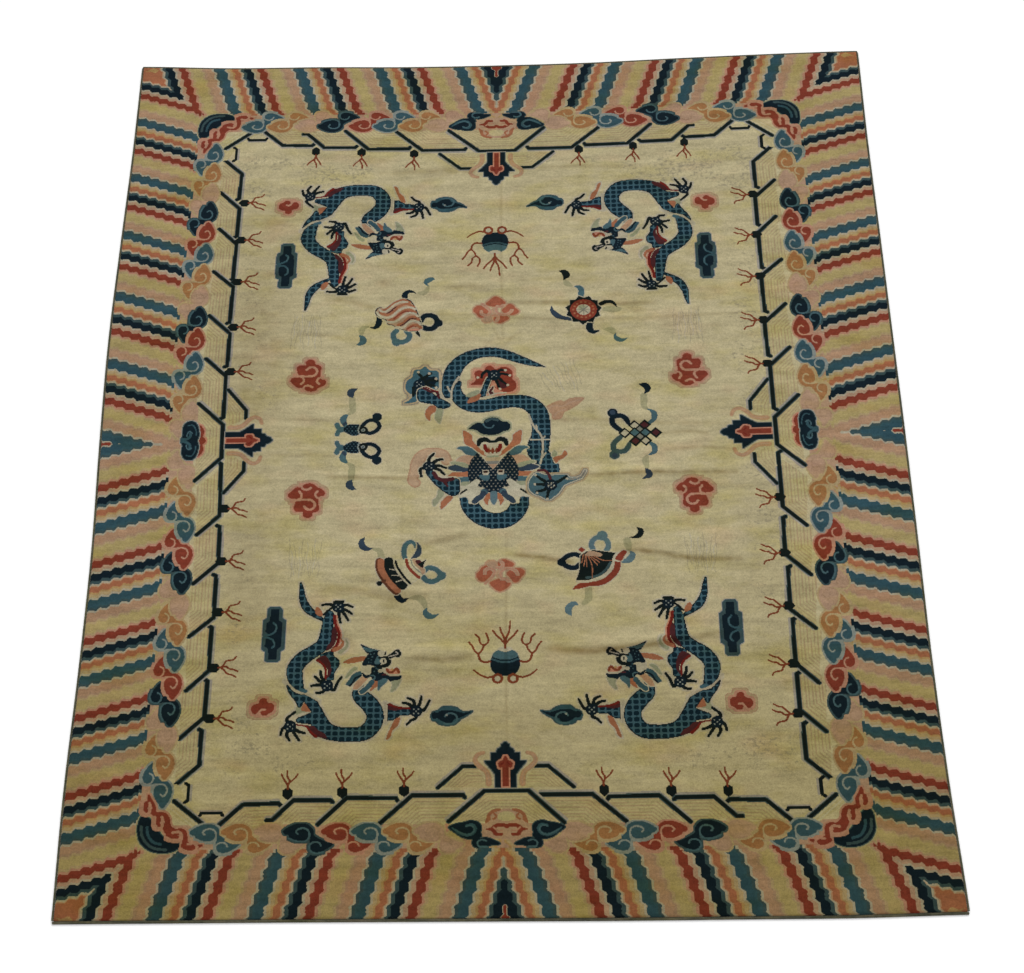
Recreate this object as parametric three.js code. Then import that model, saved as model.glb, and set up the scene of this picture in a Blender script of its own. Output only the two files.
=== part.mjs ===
// A hand-knotted wool carpet with dragons, clouds and a striped border, laid out on a floor.
// It is one knotted sheet with an overcast cord down each side and a narrow braid across each end.
// X runs across the carpet, Y along it from the near end to the far end, and Z is up. Millimetres.
import * as THREE from 'three';

// Driving sizes
const WIDTH = 2440;
const LENGTH = 3050;
const THICKNESS = 8;
const CORD_DIAMETER = 7;
const BRAID_WIDTH = 8;
const BRAID_THICKNESS = 5;
const PIECE_GAP = 0.3;

// How fine the faceted pieces are
const CORD_SIDES = 10;
const COLUMN_PITCH = 80;
const ROW_PITCH = 90;

const WOOL_CREAM = new THREE.Color('#b9ad82');
const WOOL_OLIVE = new THREE.Color('#575a43');

// An old carpet is never quite a rectangle. Each row gives how far the edges stray outwards
// from the true one: near and far at that share of the half width, left and right at that
// share of the half length.
const EDGE_STRAY = [
  { at: -1.0, near: 0, far: -2, left: 6, right: 3 },
  { at: -0.75, near: 2, far: -15, left: 10, right: -8 },
  { at: -0.5, near: 4, far: -17, left: 4, right: -12 },
  { at: -0.25, near: 7, far: -23, left: 3, right: -9 },
  { at: 0.0, near: 10, far: -22, left: 13, right: -7 },
  { at: 0.25, near: 13, far: -16, left: 19, right: -7 },
  { at: 0.5, near: 14, far: -2, left: 13, right: -7 },
  { at: 0.75, near: 15, far: 10, left: 5, right: -8 },
  { at: 1.0, near: 10, far: 18, left: 3, right: -4 },
];

// Low ripples left by folding, each a ridge that runs across the carpet: its middle, how far it
// reaches to either side, half its breadth, how high it lifts, and its rise for each mm of x.
const RIPPLES = [
  { x: 120, y: 1030, reach: 760, half: 70, lift: 2.2, slant: 0.0 },
  { x: -20, y: 705, reach: 700, half: 75, lift: 2.6, slant: 0.01 },
  { x: 60, y: 465, reach: 980, half: 62, lift: 4.6, slant: -0.02 },
  { x: 280, y: 250, reach: 520, half: 70, lift: 2.2, slant: 0.0 },
  { x: 30, y: -140, reach: 960, half: 62, lift: 4.2, slant: 0.015 },
  { x: 90, y: -435, reach: 1000, half: 66, lift: 4.8, slant: 0.02 },
  { x: 60, y: -735, reach: 820, half: 62, lift: 4.0, slant: 0.03 },
  { x: -40, y: -1010, reach: 700, half: 80, lift: 2.0, slant: 0.0 },
];

// The lengthwise fold down the middle
const CENTRE_FOLD = { x: -6, reach: 1180, half: 30, lift: 1.6 };

// A smooth curve through one column of EDGE_STRAY
function stray(edge, share) {
  const last = EDGE_STRAY.length - 1;
  const place = THREE.MathUtils.clamp(((share + 1) / 2) * last, 0, last);
  const i = Math.min(Math.floor(place), last - 1);
  const t = place - i;
  const at = (k) => EDGE_STRAY[THREE.MathUtils.clamp(k, 0, last)][edge];
  const rise = at(i + 1) - at(i);
  const slopeIn = (at(i + 1) - at(i - 1)) / 2;
  const slopeOut = (at(i + 2) - at(i)) / 2;
  const square = 3 * rise - 2 * slopeIn - slopeOut;
  const cube = slopeIn + slopeOut - 2 * rise;
  return at(i) + t * (slopeIn + t * (square + t * cube));
}

// A ridge's section: 1 on its crest, level with the floor at its foot and beyond
function ridge(distance, half) {
  return Math.abs(distance) < half ? (1 + Math.cos((Math.PI * distance) / half)) / 2 : 0;
}

function liftAt(x, y) {
  const fold = ridge(x - CENTRE_FOLD.x, CENTRE_FOLD.half) * ridge(y, CENTRE_FOLD.reach);
  let lift = CENTRE_FOLD.lift * fold;
  for (const ripple of RIPPLES) {
    const crest = ripple.y + ripple.slant * (x - ripple.x);
    lift += ripple.lift * ridge(y - crest, ripple.half) * ridge(x - ripple.x, ripple.reach);
  }
  return lift;
}

// Lays a piece that was drawn on the true rectangle onto the real carpet's outline and ripples
function lay(geometry) {
  const points = geometry.attributes.position;
  for (let i = 0; i < points.count; i += 1) {
    const x = points.getX(i);
    const y = points.getY(i);
    const across = x / WIDTH + 0.5;
    const along = y / LENGTH + 0.5;
    const shareX = (2 * x) / WIDTH;
    const shareY = (2 * y) / LENGTH;
    const moveX = across * stray('right', shareY) - (1 - across) * stray('left', shareY);
    const moveY = along * stray('far', shareX) - (1 - along) * stray('near', shareX);
    points.setXYZ(i, x + moveX, y + moveY, points.getZ(i) + liftAt(x, y));
  }
  geometry.computeVertexNormals();
  geometry.computeBoundingBox();
  return geometry;
}

// Grid lines from -half to half: an even spacing, with closer lines over each ridge
function gridLines(half, pitch, ridges) {
  const lines = [-half, half];
  for (const { middle, reach } of ridges) {
    lines.push(middle - reach, middle - reach / 2, middle, middle + reach / 2, middle + reach);
  }
  const ridgeLines = [...lines];
  const steps = Math.round((2 * half) / pitch);
  for (let i = 1; i < steps; i += 1) {
    const even = -half + (i * 2 * half) / steps;
    if (ridgeLines.every((line) => Math.abs(line - even) > pitch * 0.35)) {
      lines.push(even);
    }
  }
  return lines.sort((a, b) => a - b);
}

// The sheet's grid. The cords and braids share its lines, so every seam keeps its even gap.
const SHEET_HALF_WIDTH = WIDTH / 2 - CORD_DIAMETER - PIECE_GAP;
const SHEET_HALF_LENGTH = LENGTH / 2 - BRAID_WIDTH - PIECE_GAP;
const COLUMNS = gridLines(SHEET_HALF_WIDTH, COLUMN_PITCH, [
  { middle: CENTRE_FOLD.x, reach: CENTRE_FOLD.half },
]);
const ROWS = gridLines(
  SHEET_HALF_LENGTH,
  ROW_PITCH,
  RIPPLES.map(({ y, half }) => ({ middle: y, reach: half })),
);

// A box cut along the given lines, standing on the floor
function gridBox(columns, rows, thickness) {
  const geometry = new THREE.BoxGeometry(1, 1, thickness, columns.length - 1, rows.length - 1, 1);
  const points = geometry.attributes.position;
  for (let i = 0; i < points.count; i += 1) {
    const column = Math.round((points.getX(i) + 0.5) * (columns.length - 1));
    const row = Math.round((points.getY(i) + 0.5) * (rows.length - 1));
    points.setXYZ(i, columns[column], rows[row], points.getZ(i) + thickness / 2);
  }
  return geometry;
}

function knottedSheet() {
  return lay(gridBox(COLUMNS, ROWS, THICKNESS));
}

function sideCord(side) {
  const radius = CORD_DIAMETER / 2;
  const geometry = new THREE.CylinderGeometry(radius, radius, 1, CORD_SIDES, ROWS.length - 1);
  geometry.rotateY(Math.PI / CORD_SIDES);
  const points = geometry.attributes.position;
  for (let i = 0; i < points.count; i += 1) {
    points.setY(i, ROWS[Math.round((points.getY(i) + 0.5) * (ROWS.length - 1))]);
  }
  geometry.computeBoundingBox();
  geometry.translate(side * (WIDTH / 2 - radius), 0, -geometry.boundingBox.min.z);
  return lay(geometry);
}

function endBraid(end) {
  const outer = (end * LENGTH) / 2;
  const inner = outer - end * BRAID_WIDTH;
  const columns = [-WIDTH / 2, ...COLUMNS, WIDTH / 2];
  return lay(gridBox(columns, [Math.min(inner, outer), Math.max(inner, outer)], BRAID_THICKNESS));
}

function piece(name, geometry, color, roughness) {
  const material = new THREE.MeshStandardMaterial({ color, roughness, metalness: 0 });
  const mesh = new THREE.Mesh(geometry, material);
  mesh.name = name;
  return mesh;
}

const carpet = new THREE.Group();
carpet.add(
  piece('knotted_carpet', knottedSheet(), WOOL_CREAM, 0.95),
  piece('side_cord_left', sideCord(-1), WOOL_OLIVE, 0.9),
  piece('side_cord_right', sideCord(1), WOOL_OLIVE, 0.9),
  piece('end_braid_near', endBraid(-1), WOOL_OLIVE, 0.9),
  piece('end_braid_far', endBraid(1), WOOL_OLIVE, 0.9),
);

// The origin is the middle of the whole outline, on the floor
const middle = new THREE.Box3().setFromObject(carpet).getCenter(new THREE.Vector3());
carpet.position.set(-middle.x, -middle.y, 0);

export default carpet;
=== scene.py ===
# %% [markdown]
# # An old hand-knotted carpet with dragons
# The real carpet is about 2.4 m wide and 3 m long: dyed wool pile on a cotton foundation, with
# dragons, lucky emblems and clouds in an ivory field and slanting stripes all round. It lies flat
# on a pale floor, with the low ripples that folding has left. Its plain solids come from the CAD
# model. This lesson knots the pattern, weaves the pile over the same outline and ripples, and
# lights it softly from above.

# %% Load the plain solids
import math

import bpy
import numpy as np
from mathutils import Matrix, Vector


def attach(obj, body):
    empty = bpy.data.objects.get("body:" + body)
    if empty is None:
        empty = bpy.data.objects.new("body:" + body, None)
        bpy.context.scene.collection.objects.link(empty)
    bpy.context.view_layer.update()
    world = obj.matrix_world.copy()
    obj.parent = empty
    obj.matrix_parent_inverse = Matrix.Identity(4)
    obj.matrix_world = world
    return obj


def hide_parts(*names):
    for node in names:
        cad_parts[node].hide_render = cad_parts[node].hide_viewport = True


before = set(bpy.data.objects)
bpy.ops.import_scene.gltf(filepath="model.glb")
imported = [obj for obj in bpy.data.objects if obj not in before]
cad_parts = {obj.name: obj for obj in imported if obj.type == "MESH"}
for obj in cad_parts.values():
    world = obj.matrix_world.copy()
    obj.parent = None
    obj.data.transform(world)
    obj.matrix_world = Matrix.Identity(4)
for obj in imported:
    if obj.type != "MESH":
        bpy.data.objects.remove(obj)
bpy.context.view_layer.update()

# %% [markdown]
# ## Camera
# The photograph looks down on the carpet from about 58 degrees above the floor. The camera was
# solved from the carpet's four corners, so it is set by numbers and not by eye.

# %% The camera
PHOTO_WIDTH_PX, FOCAL_PX = 1024, 2150
camera = bpy.data.objects.new("camera", bpy.data.cameras.new("camera"))
camera.location = 0.0540, -3.5443, 5.4817
camera.rotation_euler = [math.radians(turn) for turn in (31.552, 0.669, -0.623)]
camera.data.sensor_width = 36
camera.data.lens = 36 * FOCAL_PX / PHOTO_WIDTH_PX
camera.data.clip_end = 200
scene = bpy.context.scene
scene.collection.objects.link(camera)
scene.camera = camera
print(f"lens {camera.data.lens:.1f} mm, {camera.location.length:.2f} m from the carpet's middle")

# %% [markdown]
# ## How the carpet lies
# No old carpet is a true rectangle, and none lies perfectly flat. The CAD solids were drawn on a
# true rectangle and then laid: each edge strays by a few millimetres, and low ripples run across.
# The same two tables are repeated here, so that every tuft sits where the solids are. A shrinkwrap
# would find the solids too, but it would lose the squareness of the pattern.

# %% Edge strays and ripples, in millimetres
WIDTH, LENGTH = 2440.0, 3050.0
ORIGIN_MOVE = 7.98254, -1.43616
STRAY = {
    "near": (0, 2, 4, 7, 10, 13, 14, 15, 10),
    "far": (-2, -15, -17, -23, -22, -16, -2, 10, 18),
    "left": (6, 10, 4, 3, 13, 19, 13, 5, 3),
    "right": (3, -8, -12, -9, -7, -7, -7, -8, -4),
}
# each ripple: middle x and y, reach to each side, half breadth, lift, slant
RIPPLES = [
    (120, 1030, 760, 70, 2.2, 0.0), (-20, 705, 700, 75, 2.6, 0.01), (60, 465, 980, 62, 4.6, -0.02),
    (280, 250, 520, 70, 2.2, 0.0), (30, -140, 960, 62, 4.2, 0.015), (90, -435, 1000, 66, 4.8, 0.02),
    (60, -735, 820, 62, 4.0, 0.03), (-40, -1010, 700, 80, 2.0, 0.0),
]
FOLD_X, FOLD_REACH, FOLD_HALF, FOLD_LIFT = -6, 1180, 30, 1.6
print(len(RIPPLES), "ripples and one fold down the middle")


# %% From the true rectangle to the carpet on the floor
def stray(edge, share):
    row = np.array(STRAY[edge], float)
    place = np.clip((share + 1) * 4, 0, 8)
    i = np.minimum(place.astype(int), 7)
    t = place - i
    before, here, after, beyond = (row[np.clip(i + k, 0, 8)] for k in (-1, 0, 1, 2))
    rise, slope_in, slope_out = after - here, (after - before) / 2, (beyond - here) / 2
    square, cube = 3 * rise - 2 * slope_in - slope_out, slope_in + slope_out - 2 * rise
    return here + t * (slope_in + t * (square + t * cube))


def ridge(distance, half):
    return np.where(np.abs(distance) < half, (1 + np.cos(np.pi * distance / half)) / 2, 0)


def lift_at(x, y):
    lift = FOLD_LIFT * ridge(x - FOLD_X, FOLD_HALF) * ridge(y, FOLD_REACH)
    for middle_x, middle_y, reach, half, height, slant in RIPPLES:
        across = x - middle_x
        lift = lift + height * ridge(y - middle_y - slant * across, half) * ridge(across, reach)
    return lift


def lay(x, y, z):
    across, along = x / WIDTH + 0.5, y / LENGTH + 0.5
    from_middle_x, from_middle_y = x / (WIDTH / 2), y / (LENGTH / 2)
    moved_x = x + across * stray("right", from_middle_y)
    moved_x = moved_x - (1 - across) * stray("left", from_middle_y)
    moved_y = y + along * stray("far", from_middle_x)
    moved_y = moved_y - (1 - along) * stray("near", from_middle_x)
    points = np.stack([moved_x + ORIGIN_MOVE[0], moved_y + ORIGIN_MOVE[1], z + lift_at(x, y)], -1)
    return points.reshape(-1, 3) / 1000


corner = lay(np.array([WIDTH / 2]), np.array([LENGTH / 2]), np.array([0.0]))[0]
print("the far right corner lies at", [round(float(v), 4) for v in corner])


# %% [markdown]
# ## The chart
# A hand-knotted carpet is a picture in small squares. Each knot is one tuft of dyed wool, and the
# weaver counts the knots from a chart on squared paper. An image texture could carry the pattern,
# but it would be somebody's photograph. So the pattern is charted here: one yarn number for
# each knot, painted with a few brush strokes for each motif. All sizes in the chart are in
# millimetres, x across the carpet and y along it, with 0, 0 in its middle.

# %% Squared paper, one square for each knot
KNOTS_ACROSS, KNOTS_ALONG = 1120, 1400
KNOT = WIDTH / KNOTS_ACROSS
knot_x = (np.arange(KNOTS_ACROSS) + 0.5) * KNOT - WIDTH / 2
knot_y = (np.arange(KNOTS_ALONG) + 0.5) * KNOT - LENGTH / 2
print(f"{KNOTS_ACROSS * KNOTS_ALONG} knots, one every {KNOT:.2f} mm")

# %% The dyed yarns, as they look today
YARNS = {
    "ivory": (180, 169, 133),
    "wheat": (174, 163, 122),
    "cream": (178, 170, 138),
    "pale": (170, 162, 140),
    "bone": (160, 152, 132),
    "white": (178, 172, 148),
    "lilac": (150, 144, 134),
    "hair": (160, 151, 123),
    "tan": (162, 144, 111),
    "sand": (164, 144, 107),
    "straw": (162, 132, 88),
    "moss": (163, 147, 99),
    "sage": (150, 145, 112),
    "lime": (136, 138, 112),
    "peach": (165, 136, 112),
    "rose": (162, 130, 103),
    "petal": (168, 142, 115),
    "blush": (176, 124, 102),
    "shell": (168, 126, 104),
    "apricot": (168, 134, 104),
    "mauve": (158, 130, 105),
    "salmon": (147, 96, 69),
    "clay": (150, 86, 64),
    "orange": (152, 98, 70),
    "copper": (148, 106, 68),
    "red": (122, 56, 42),
    "crimson": (104, 34, 28),
    "wine": (70, 36, 38),
    "rust": (116, 60, 40),
    "brown": (88, 54, 38),
    "grey": (118, 116, 106),
    "mist": (128, 134, 128),
    "sky": (84, 106, 112),
    "steel": (66, 92, 98),
    "cloud": (58, 88, 98),
    "sea": (52, 78, 86),
    "teal": (56, 74, 76),
    "ocean": (50, 77, 84),
    "blue": (47, 74, 83),
    "indigo": (48, 61, 74),
    "navy": (18, 31, 39),
    "black": (20, 28, 27),
    "skin": (58, 87, 98),
    "spots": (17, 37, 47),
}
CODE = {name: number for number, name in enumerate(YARNS, start=1)}
chart = np.full((KNOTS_ALONG, KNOTS_ACROSS), CODE["ivory"], np.uint8)
print(len(YARNS), "yarns; the whole chart starts in ivory")

# %% [markdown]
# A motif is drawn on a sheet of film first, because a mirrored or turned film lays the same motif
# in another corner, and because a film can be laid down with a rim of paler knots round it, which
# is how the weaver keeps dark wool from running into the ground. A stroke is a band that may
# change its width, and a patch is a filled outline. Both run smoothly through their points. The
# two halves of a film draw on one sheet, and the second half mirrors all that it draws.

# %% Smooth lines and the window of knots they touch
def smooth(points, closed=False, steps=6):
    p = np.array(points, float)
    if closed:
        p = np.vstack([p[-1:], p, p[:2]])
    else:
        p = np.vstack([2 * p[0] - p[1], p, 2 * p[-1] - p[-2]])
    t = (np.arange(steps) / steps)[None, :, None]
    a, b, c, d = p[:-3, None], p[1:-2, None], p[2:-1, None], p[3:, None]
    bend = b + t * (c - a + t * (2 * a - 5 * b + 4 * c - d + t * (3 * b - a - 3 * c + d))) / 2
    bend = bend.reshape(-1, p.shape[1])
    return bend if closed else np.vstack([bend, p[-2]])


def window(low, high):
    first = [max(int((v + side / 2) / KNOT), 0) for v, side in zip(low, (WIDTH, LENGTH))]
    last = [max(int((v + side / 2) / KNOT) + 2, 0) for v, side in zip(high, (WIDTH, LENGTH))]
    columns, rows = (slice(a, b) for a, b in zip(first, last))
    return (rows, columns), knot_x[columns][None, :], knot_y[rows][:, None]


print("a smooth line through 4 points has", len(smooth([(0, 0), (1, 2), (3, 2), (4, 0)])))


# %% Film to draw a motif on
class Film:
    def __init__(self, at=(0, 0), right=(1, 0), up=(0, 1)):
        self.at, self.right, self.up = np.array([at, right, up], float)
        self.knots = np.zeros(chart.shape, np.uint8)

    def halves(self, axis=0.0):
        mirrored = Film(self.at + 2 * axis * self.right, -self.right, self.up)
        mirrored.knots = self.knots
        return self, mirrored

    def place(self, points):
        p = np.array(points, float)
        spot = self.at + p[:, :1] * self.right + p[:, 1:2] * self.up
        return np.hstack([spot, p[:, 2:] * np.hypot(*self.right)])

    def stroke(self, yarn, width, *points, curved=True, over=None):
        start, end = np.broadcast_to(width, 2)
        shares = np.linspace(0, 1, len(points))
        path = [(*p, start + (end - start) * s)[:3] for p, s in zip(points, shares)]
        path = self.place(path)
        if curved and len(path) > 2:
            path = smooth(path)
        for (xa, ya, wa), (xb, yb, wb) in zip(path, path[1:]):
            reach = max(wa, wb, 0) / 2
            low = min(xa, xb) - reach, min(ya, yb) - reach
            part, x, y = window(low, (max(xa, xb) + reach, max(ya, yb) + reach))
            run = (xb - xa) ** 2 + (yb - ya) ** 2 or 1e-9
            t = np.clip(((x - xa) * (xb - xa) + (y - ya) * (yb - ya)) / run, 0, 1)
            away = np.hypot(x - xa - t * (xb - xa), y - ya - t * (yb - ya))
            inside = away < (wa + t * (wb - wa)) / 2
            if over:
                inside &= self.knots[part] == CODE[over]
            self.knots[part][inside] = CODE[yarn]

    def line(self, yarn, width, *points, over=None):
        self.stroke(yarn, width, *points, curved=False, over=over)

    def dot(self, yarn, x, y, radius, over=None):
        self.stroke(yarn, 2 * radius, (x, y), (x, y), over=over)

    def ring(self, yarn, width, x, y, radius):
        turns = np.linspace(0, 2 * math.pi, 17)
        self.stroke(yarn, width,
                    *((x + radius * math.cos(t), y + radius * math.sin(t)) for t in turns))

    def patch(self, yarn, *points, curved=True):
        path = self.place(points)
        if curved:
            path = smooth(path, closed=True)
        part, x, y = window(path.min(axis=0), path.max(axis=0))
        inside = np.zeros((y.size, x.size), bool)
        for (xa, ya), (xb, yb) in zip(path, np.roll(path, -1, axis=0)):
            if ya != yb:
                inside ^= ((ya > y) != (yb > y)) & (x < xa + (y - ya) * (xb - xa) / (yb - ya))
        self.knots[part][inside] = CODE[yarn]


film = Film()
film.dot("red", 0, 0, 10)
print("a dot 20 mm across is", np.count_nonzero(film.knots), "knots")


# %% Laying a film down, with rims of other yarns round what is drawn
def spread(mask, knots):
    for step in range(knots):
        wide = mask.copy()
        wide[1:] |= mask[:-1]
        wide[:-1] |= mask[1:]
        mask = wide.copy() if step % 2 == 0 else wide
        mask[:, 1:] |= wide[:, :-1]
        mask[:, :-1] |= wide[:, 1:]
    return mask


def lay_down(film, *rims):
    drawn = film.knots > 0
    rim = drawn
    for yarn, knots in rims:
        wider = spread(rim, knots)
        chart[wider & ~rim] = CODE[yarn]
        rim = wider
    chart[drawn] = film.knots[drawn]


# The same motif laid down at several places, mirrored where right or up is -1
def repeat(draw, *places):
    for x, y, right, up in places:
        draw(Film((x, y), (right, 0), (0, up)))


lone = np.zeros((9, 9), bool)
lone[4, 4] = True
print("2 knots of rim turn one knot into", np.count_nonzero(spread(lone, 2)))


# %% [markdown]
# ## The border
# Slanting bands of colour climb the whole border like waves breaking on a shore, with clouds and
# foam-lined hills above them. One stripe sequence is repeated along each side. The right and near
# halves mirror the left and far ones, so the sequence is worked out on coordinates that are folded
# into one quarter. The weaver's mirror line is a little left of the middle, as on the real carpet.

# %% The stripe sequence
AXIS_X, AXIS_Y = -12.5, -6.0
RIGHT_STRETCH = 1.02  # the right half is a little wider than the left
REPEAT = 270.0
STRIPES = {
    0: "teal", 9: "ocean", 16: "blue", 38: "bone", 45: "sand", 56: "straw", 63: "orange",
    82: "apricot", 86: "bone", 92: "teal", 103: "navy", 128: "bone", 135: "peach", 148: "red",
    173: "shell", 181: "sand", 190: "moss", 222: "sand", 230: "mauve", 238: "rose", 263: "bone",
}
BLUE_STARTS_TOP = [-1234, -967, -698, -426, -152, 118]
BLUE_STARTS_SIDE = [-1527, -1286, -1048, -810, -566, -306, -40, 230]
DARK = [CODE[n] for n in ("teal", "ocean", "blue", "navy", "red", "orange", "bone", "apricot")]
print(len(STRIPES), "stripes in one repeat of", REPEAT, "mm")

# %% Painting the stripes
STRIPE_DEPTH, CLOUD_DEPTH = 218, 290
TOE, SLANT, STEP, MITRE = 9, 0.325, 3.5, 0.968
STARTS_READ_AT_X, STARTS_READ_AT_Y = -1190, 1500
ORANGE_FIRST = 82  # in the first repeat of each side these millimetres are orange
RED_FROM_END, RED_FROM_SIDE = -22, 3  # past here, in the middle of a side, all is red


# A stair of soft steps along a stripe: turn counts them, lean tips them up or down the stripe
def steps(turn, lean):
    return STEP * (np.sin(turn) + lean * 0.33 * np.sin(2 * turn))


x_all, y_all = np.meshgrid(knot_x, knot_y)
fold_x = np.where(x_all > AXIS_X, AXIS_X - (x_all - AXIS_X) / RIGHT_STRETCH, x_all)
fold_y = np.where(y_all < AXIS_Y, 2 * AXIS_Y - y_all, y_all)
from_end = LENGTH / 2 - fold_y
from_side = fold_x + WIDTH / 2
on_end = from_end < from_side * MITRE
depth = np.where(on_end, from_end, from_side)
toe = np.where((depth > STRIPE_DEPTH - TOE) & (depth < STRIPE_DEPTH), TOE, 0)
end_steps = steps((fold_y - 1415) * 0.182, -1)
side_steps = steps((fold_x + 1110) * 0.2007 + 1.82, 1)
climb_end = fold_x + SLANT * (fold_y - STARTS_READ_AT_Y) - end_steps - toe
climb_side = -fold_y - SLANT * (fold_x - STARTS_READ_AT_X) - side_steps - toe
repeats = np.where(
    on_end,
    np.interp(climb_end, BLUE_STARTS_TOP, np.arange(6)),
    np.interp(climb_side, BLUE_STARTS_SIDE, np.arange(8)),
)
offset = (repeats % 1) * REPEAT
codes = np.array([CODE[yarn] for yarn in STRIPES.values()], np.uint8)
stripe = codes[np.searchsorted(list(STRIPES), offset, side="right") - 1]
stripe = np.where((repeats < 1) & (offset < ORANGE_FIRST), CODE["orange"], stripe)
in_middle = np.where(on_end, climb_end > RED_FROM_END, climb_side > RED_FROM_SIDE)
stripe = np.where(in_middle, CODE["red"], stripe)
soft_stripe = np.where(np.isin(stripe, DARK), CODE["peach"], stripe)
chart[depth < CLOUD_DEPTH] = soft_stripe[depth < CLOUD_DEPTH]
chart[depth < STRIPE_DEPTH] = stripe[depth < STRIPE_DEPTH]
print(f"the striped band covers {np.mean(depth < STRIPE_DEPTH):.0%} of the carpet")

# %% [markdown]
# Inside the stripes stands a row of hills. Each is a wheat-coloured patch with tan foam lines,
# under a black edge that has a teal selvedge on both sides and a grey-lilac shadow. Only one
# quarter is listed: four films lay it in the four quarters, the right-hand ones a touch wider.

# %% Hills with foam lines
QUARTERS = [
    ((0, 0), (1, 0), (0, 1)),
    (((1 + RIGHT_STRETCH) * AXIS_X, 0), (-RIGHT_STRETCH, 0), (0, 1)),
    ((0, 2 * AXIS_Y), (1, 0), (0, -1)),
    (((1 + RIGHT_STRETCH) * AXIS_X, 2 * AXIS_Y), (-RIGHT_STRETCH, 0), (0, -1)),
]
TOP_HILLS = [
    [(-785, 1236), (-722, 1175), (-625, 1172), (-618, 1178)],
    [(-655, 1222), (-640, 1222), (-583, 1163), (-482, 1163), (-476, 1169)],
    [(-515, 1235), (-437, 1157), (-302, 1158), (-298, 1165)],
    [(-345, 1232), (-257, 1150), (-118, 1150), (-113, 1157)],
]
SIDE_HILLS = [
    [(-912, 1116), (-849, 1055), (-851, 950), (-858, 946)],
    [(-912, 975), (-846, 908), (-846, 795), (-854, 790)],
    [(-905, 825), (-845, 762), (-847, 622), (-855, 618)],
    [(-910, 652), (-843, 590), (-845, 452), (-853, 448)],
    [(-910, 478), (-841, 408), (-843, 285), (-851, 281)],
    [(-910, 312), (-845, 246), (-846, 112), (-846, 107)],
]
FOAM, SELVEDGE, RIGHT_HILLS_INWARD = 9.6, 2.25, 8


def edge(film, points, width=14.5):
    film.line("teal", width, *points)
    film.line("black", width - 2 * SELVEDGE, *points)


# The last four points of a hill are its foot, shoulder, brow and tip; inner closes the patch
def hill(film, points, toward, inner):
    film.patch("wheat", *points, *inner, curved=False)
    a, b, c = (np.array(p, float) for p in points[-4:-1])
    lean, flat = (a - b) / np.hypot(*(a - b)), (c - b) / np.hypot(*(c - b))
    turn = abs(lean[0] * flat[1] - lean[1] * flat[0])
    side = np.array([-lean[1], lean[0]])
    side = side if side @ flat > 0 else -side
    for k in range(1, 9):
        gap = FOAM * k
        foam = a + side * gap + lean * 30, b + (lean + flat) * gap / turn
        film.line("tan", 3.4, *foam, c - np.array(toward) * gap + flat * 20, over="wheat")
    film.line("lilac", 13, *((x + toward[0] * 7, y + toward[1] * 7) for x, y in points[:-1]))
    edge(film, points)


for place in QUARTERS:
    film = Film(*place)
    for points in TOP_HILLS:
        left, right = points[-4][0] + 172, points[-2][0] + 30
        hill(film, points, (0, -1), [(right, 1162), (-515 if len(points) == 5 else left, 1240)])
    for points in SIDE_HILLS:
        if place[1][0] < 0:
            points = [(x + RIGHT_HILLS_INWARD, y) for x, y in points]
        hill(film, points, (1, 0), [(-848, points[-2][1] - 30), (-918, points[0][1] - 165)])
    lay_down(film)
print(4 * (len(TOP_HILLS) + len(SIDE_HILLS)), "hills")

# %% [markdown]
# The clouds between the hills and the stripes are all one shape: two curled heads, a large one and
# a small one on its shoulder. They take five colour pairs in turn. Turning the points by a quarter
# gives the clouds of the long sides.

# %% Clouds of the border
CLOUD_DYES = [
    ("sea", "mist", "mist"), ("copper", "sand", "sand"), ("peach", "mauve", "sand"),
    ("navy", "steel", "teal"), ("red", "shell", "shell"),
]
TOP_CLOUDS = [(x, 1258) for x in (-822, -737, -648, -568, -465, -383, -297, -213)]
SIDE_CLOUDS = [
    (-945, y) for y in (1143, 1058, 975, 895, 812, 724, 640, 555, 470, 388, 296, 206, 112)
]
HEAD = [(-41, -4), (-36, 5), (-27, 8), (-22, 16), (-9, 22), (8, 25), (22, 22), (33, 16), (31, 32),
        (33, 46), (38, 55), (50, 59), (66, 56), (78, 49), (89, 42), (96, 33), (82, 30), (67, 23),
        (54, 16), (44, 8), (43, -4), (36, -15), (24, -24), (5, -27), (-12, -23), (-28, -15)]
LARGE_CURL = [(-24, 17), (-9, 24), (8, 27), (23, 24), (31, 11), (28, -5), (16, -12), (2, -10),
              (-5, -2), (0, 5)]
SMALL_CURL = [(70, 57), (52, 61), (38, 57), (31, 46), (34, 34), (46, 28), (58, 31), (63, 40)]


def cloud(film, x, y, body, curl, rim, sideways):
    def at(points):
        return [(x - v, y - u) if sideways else (x + u, y + v) for u, v in points]

    film.patch(body, *at(HEAD))
    film.stroke(curl, 5, *at(LARGE_CURL))
    film.stroke(curl, 5, *at(SMALL_CURL))
    lay_down(film, (rim, 2))


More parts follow.
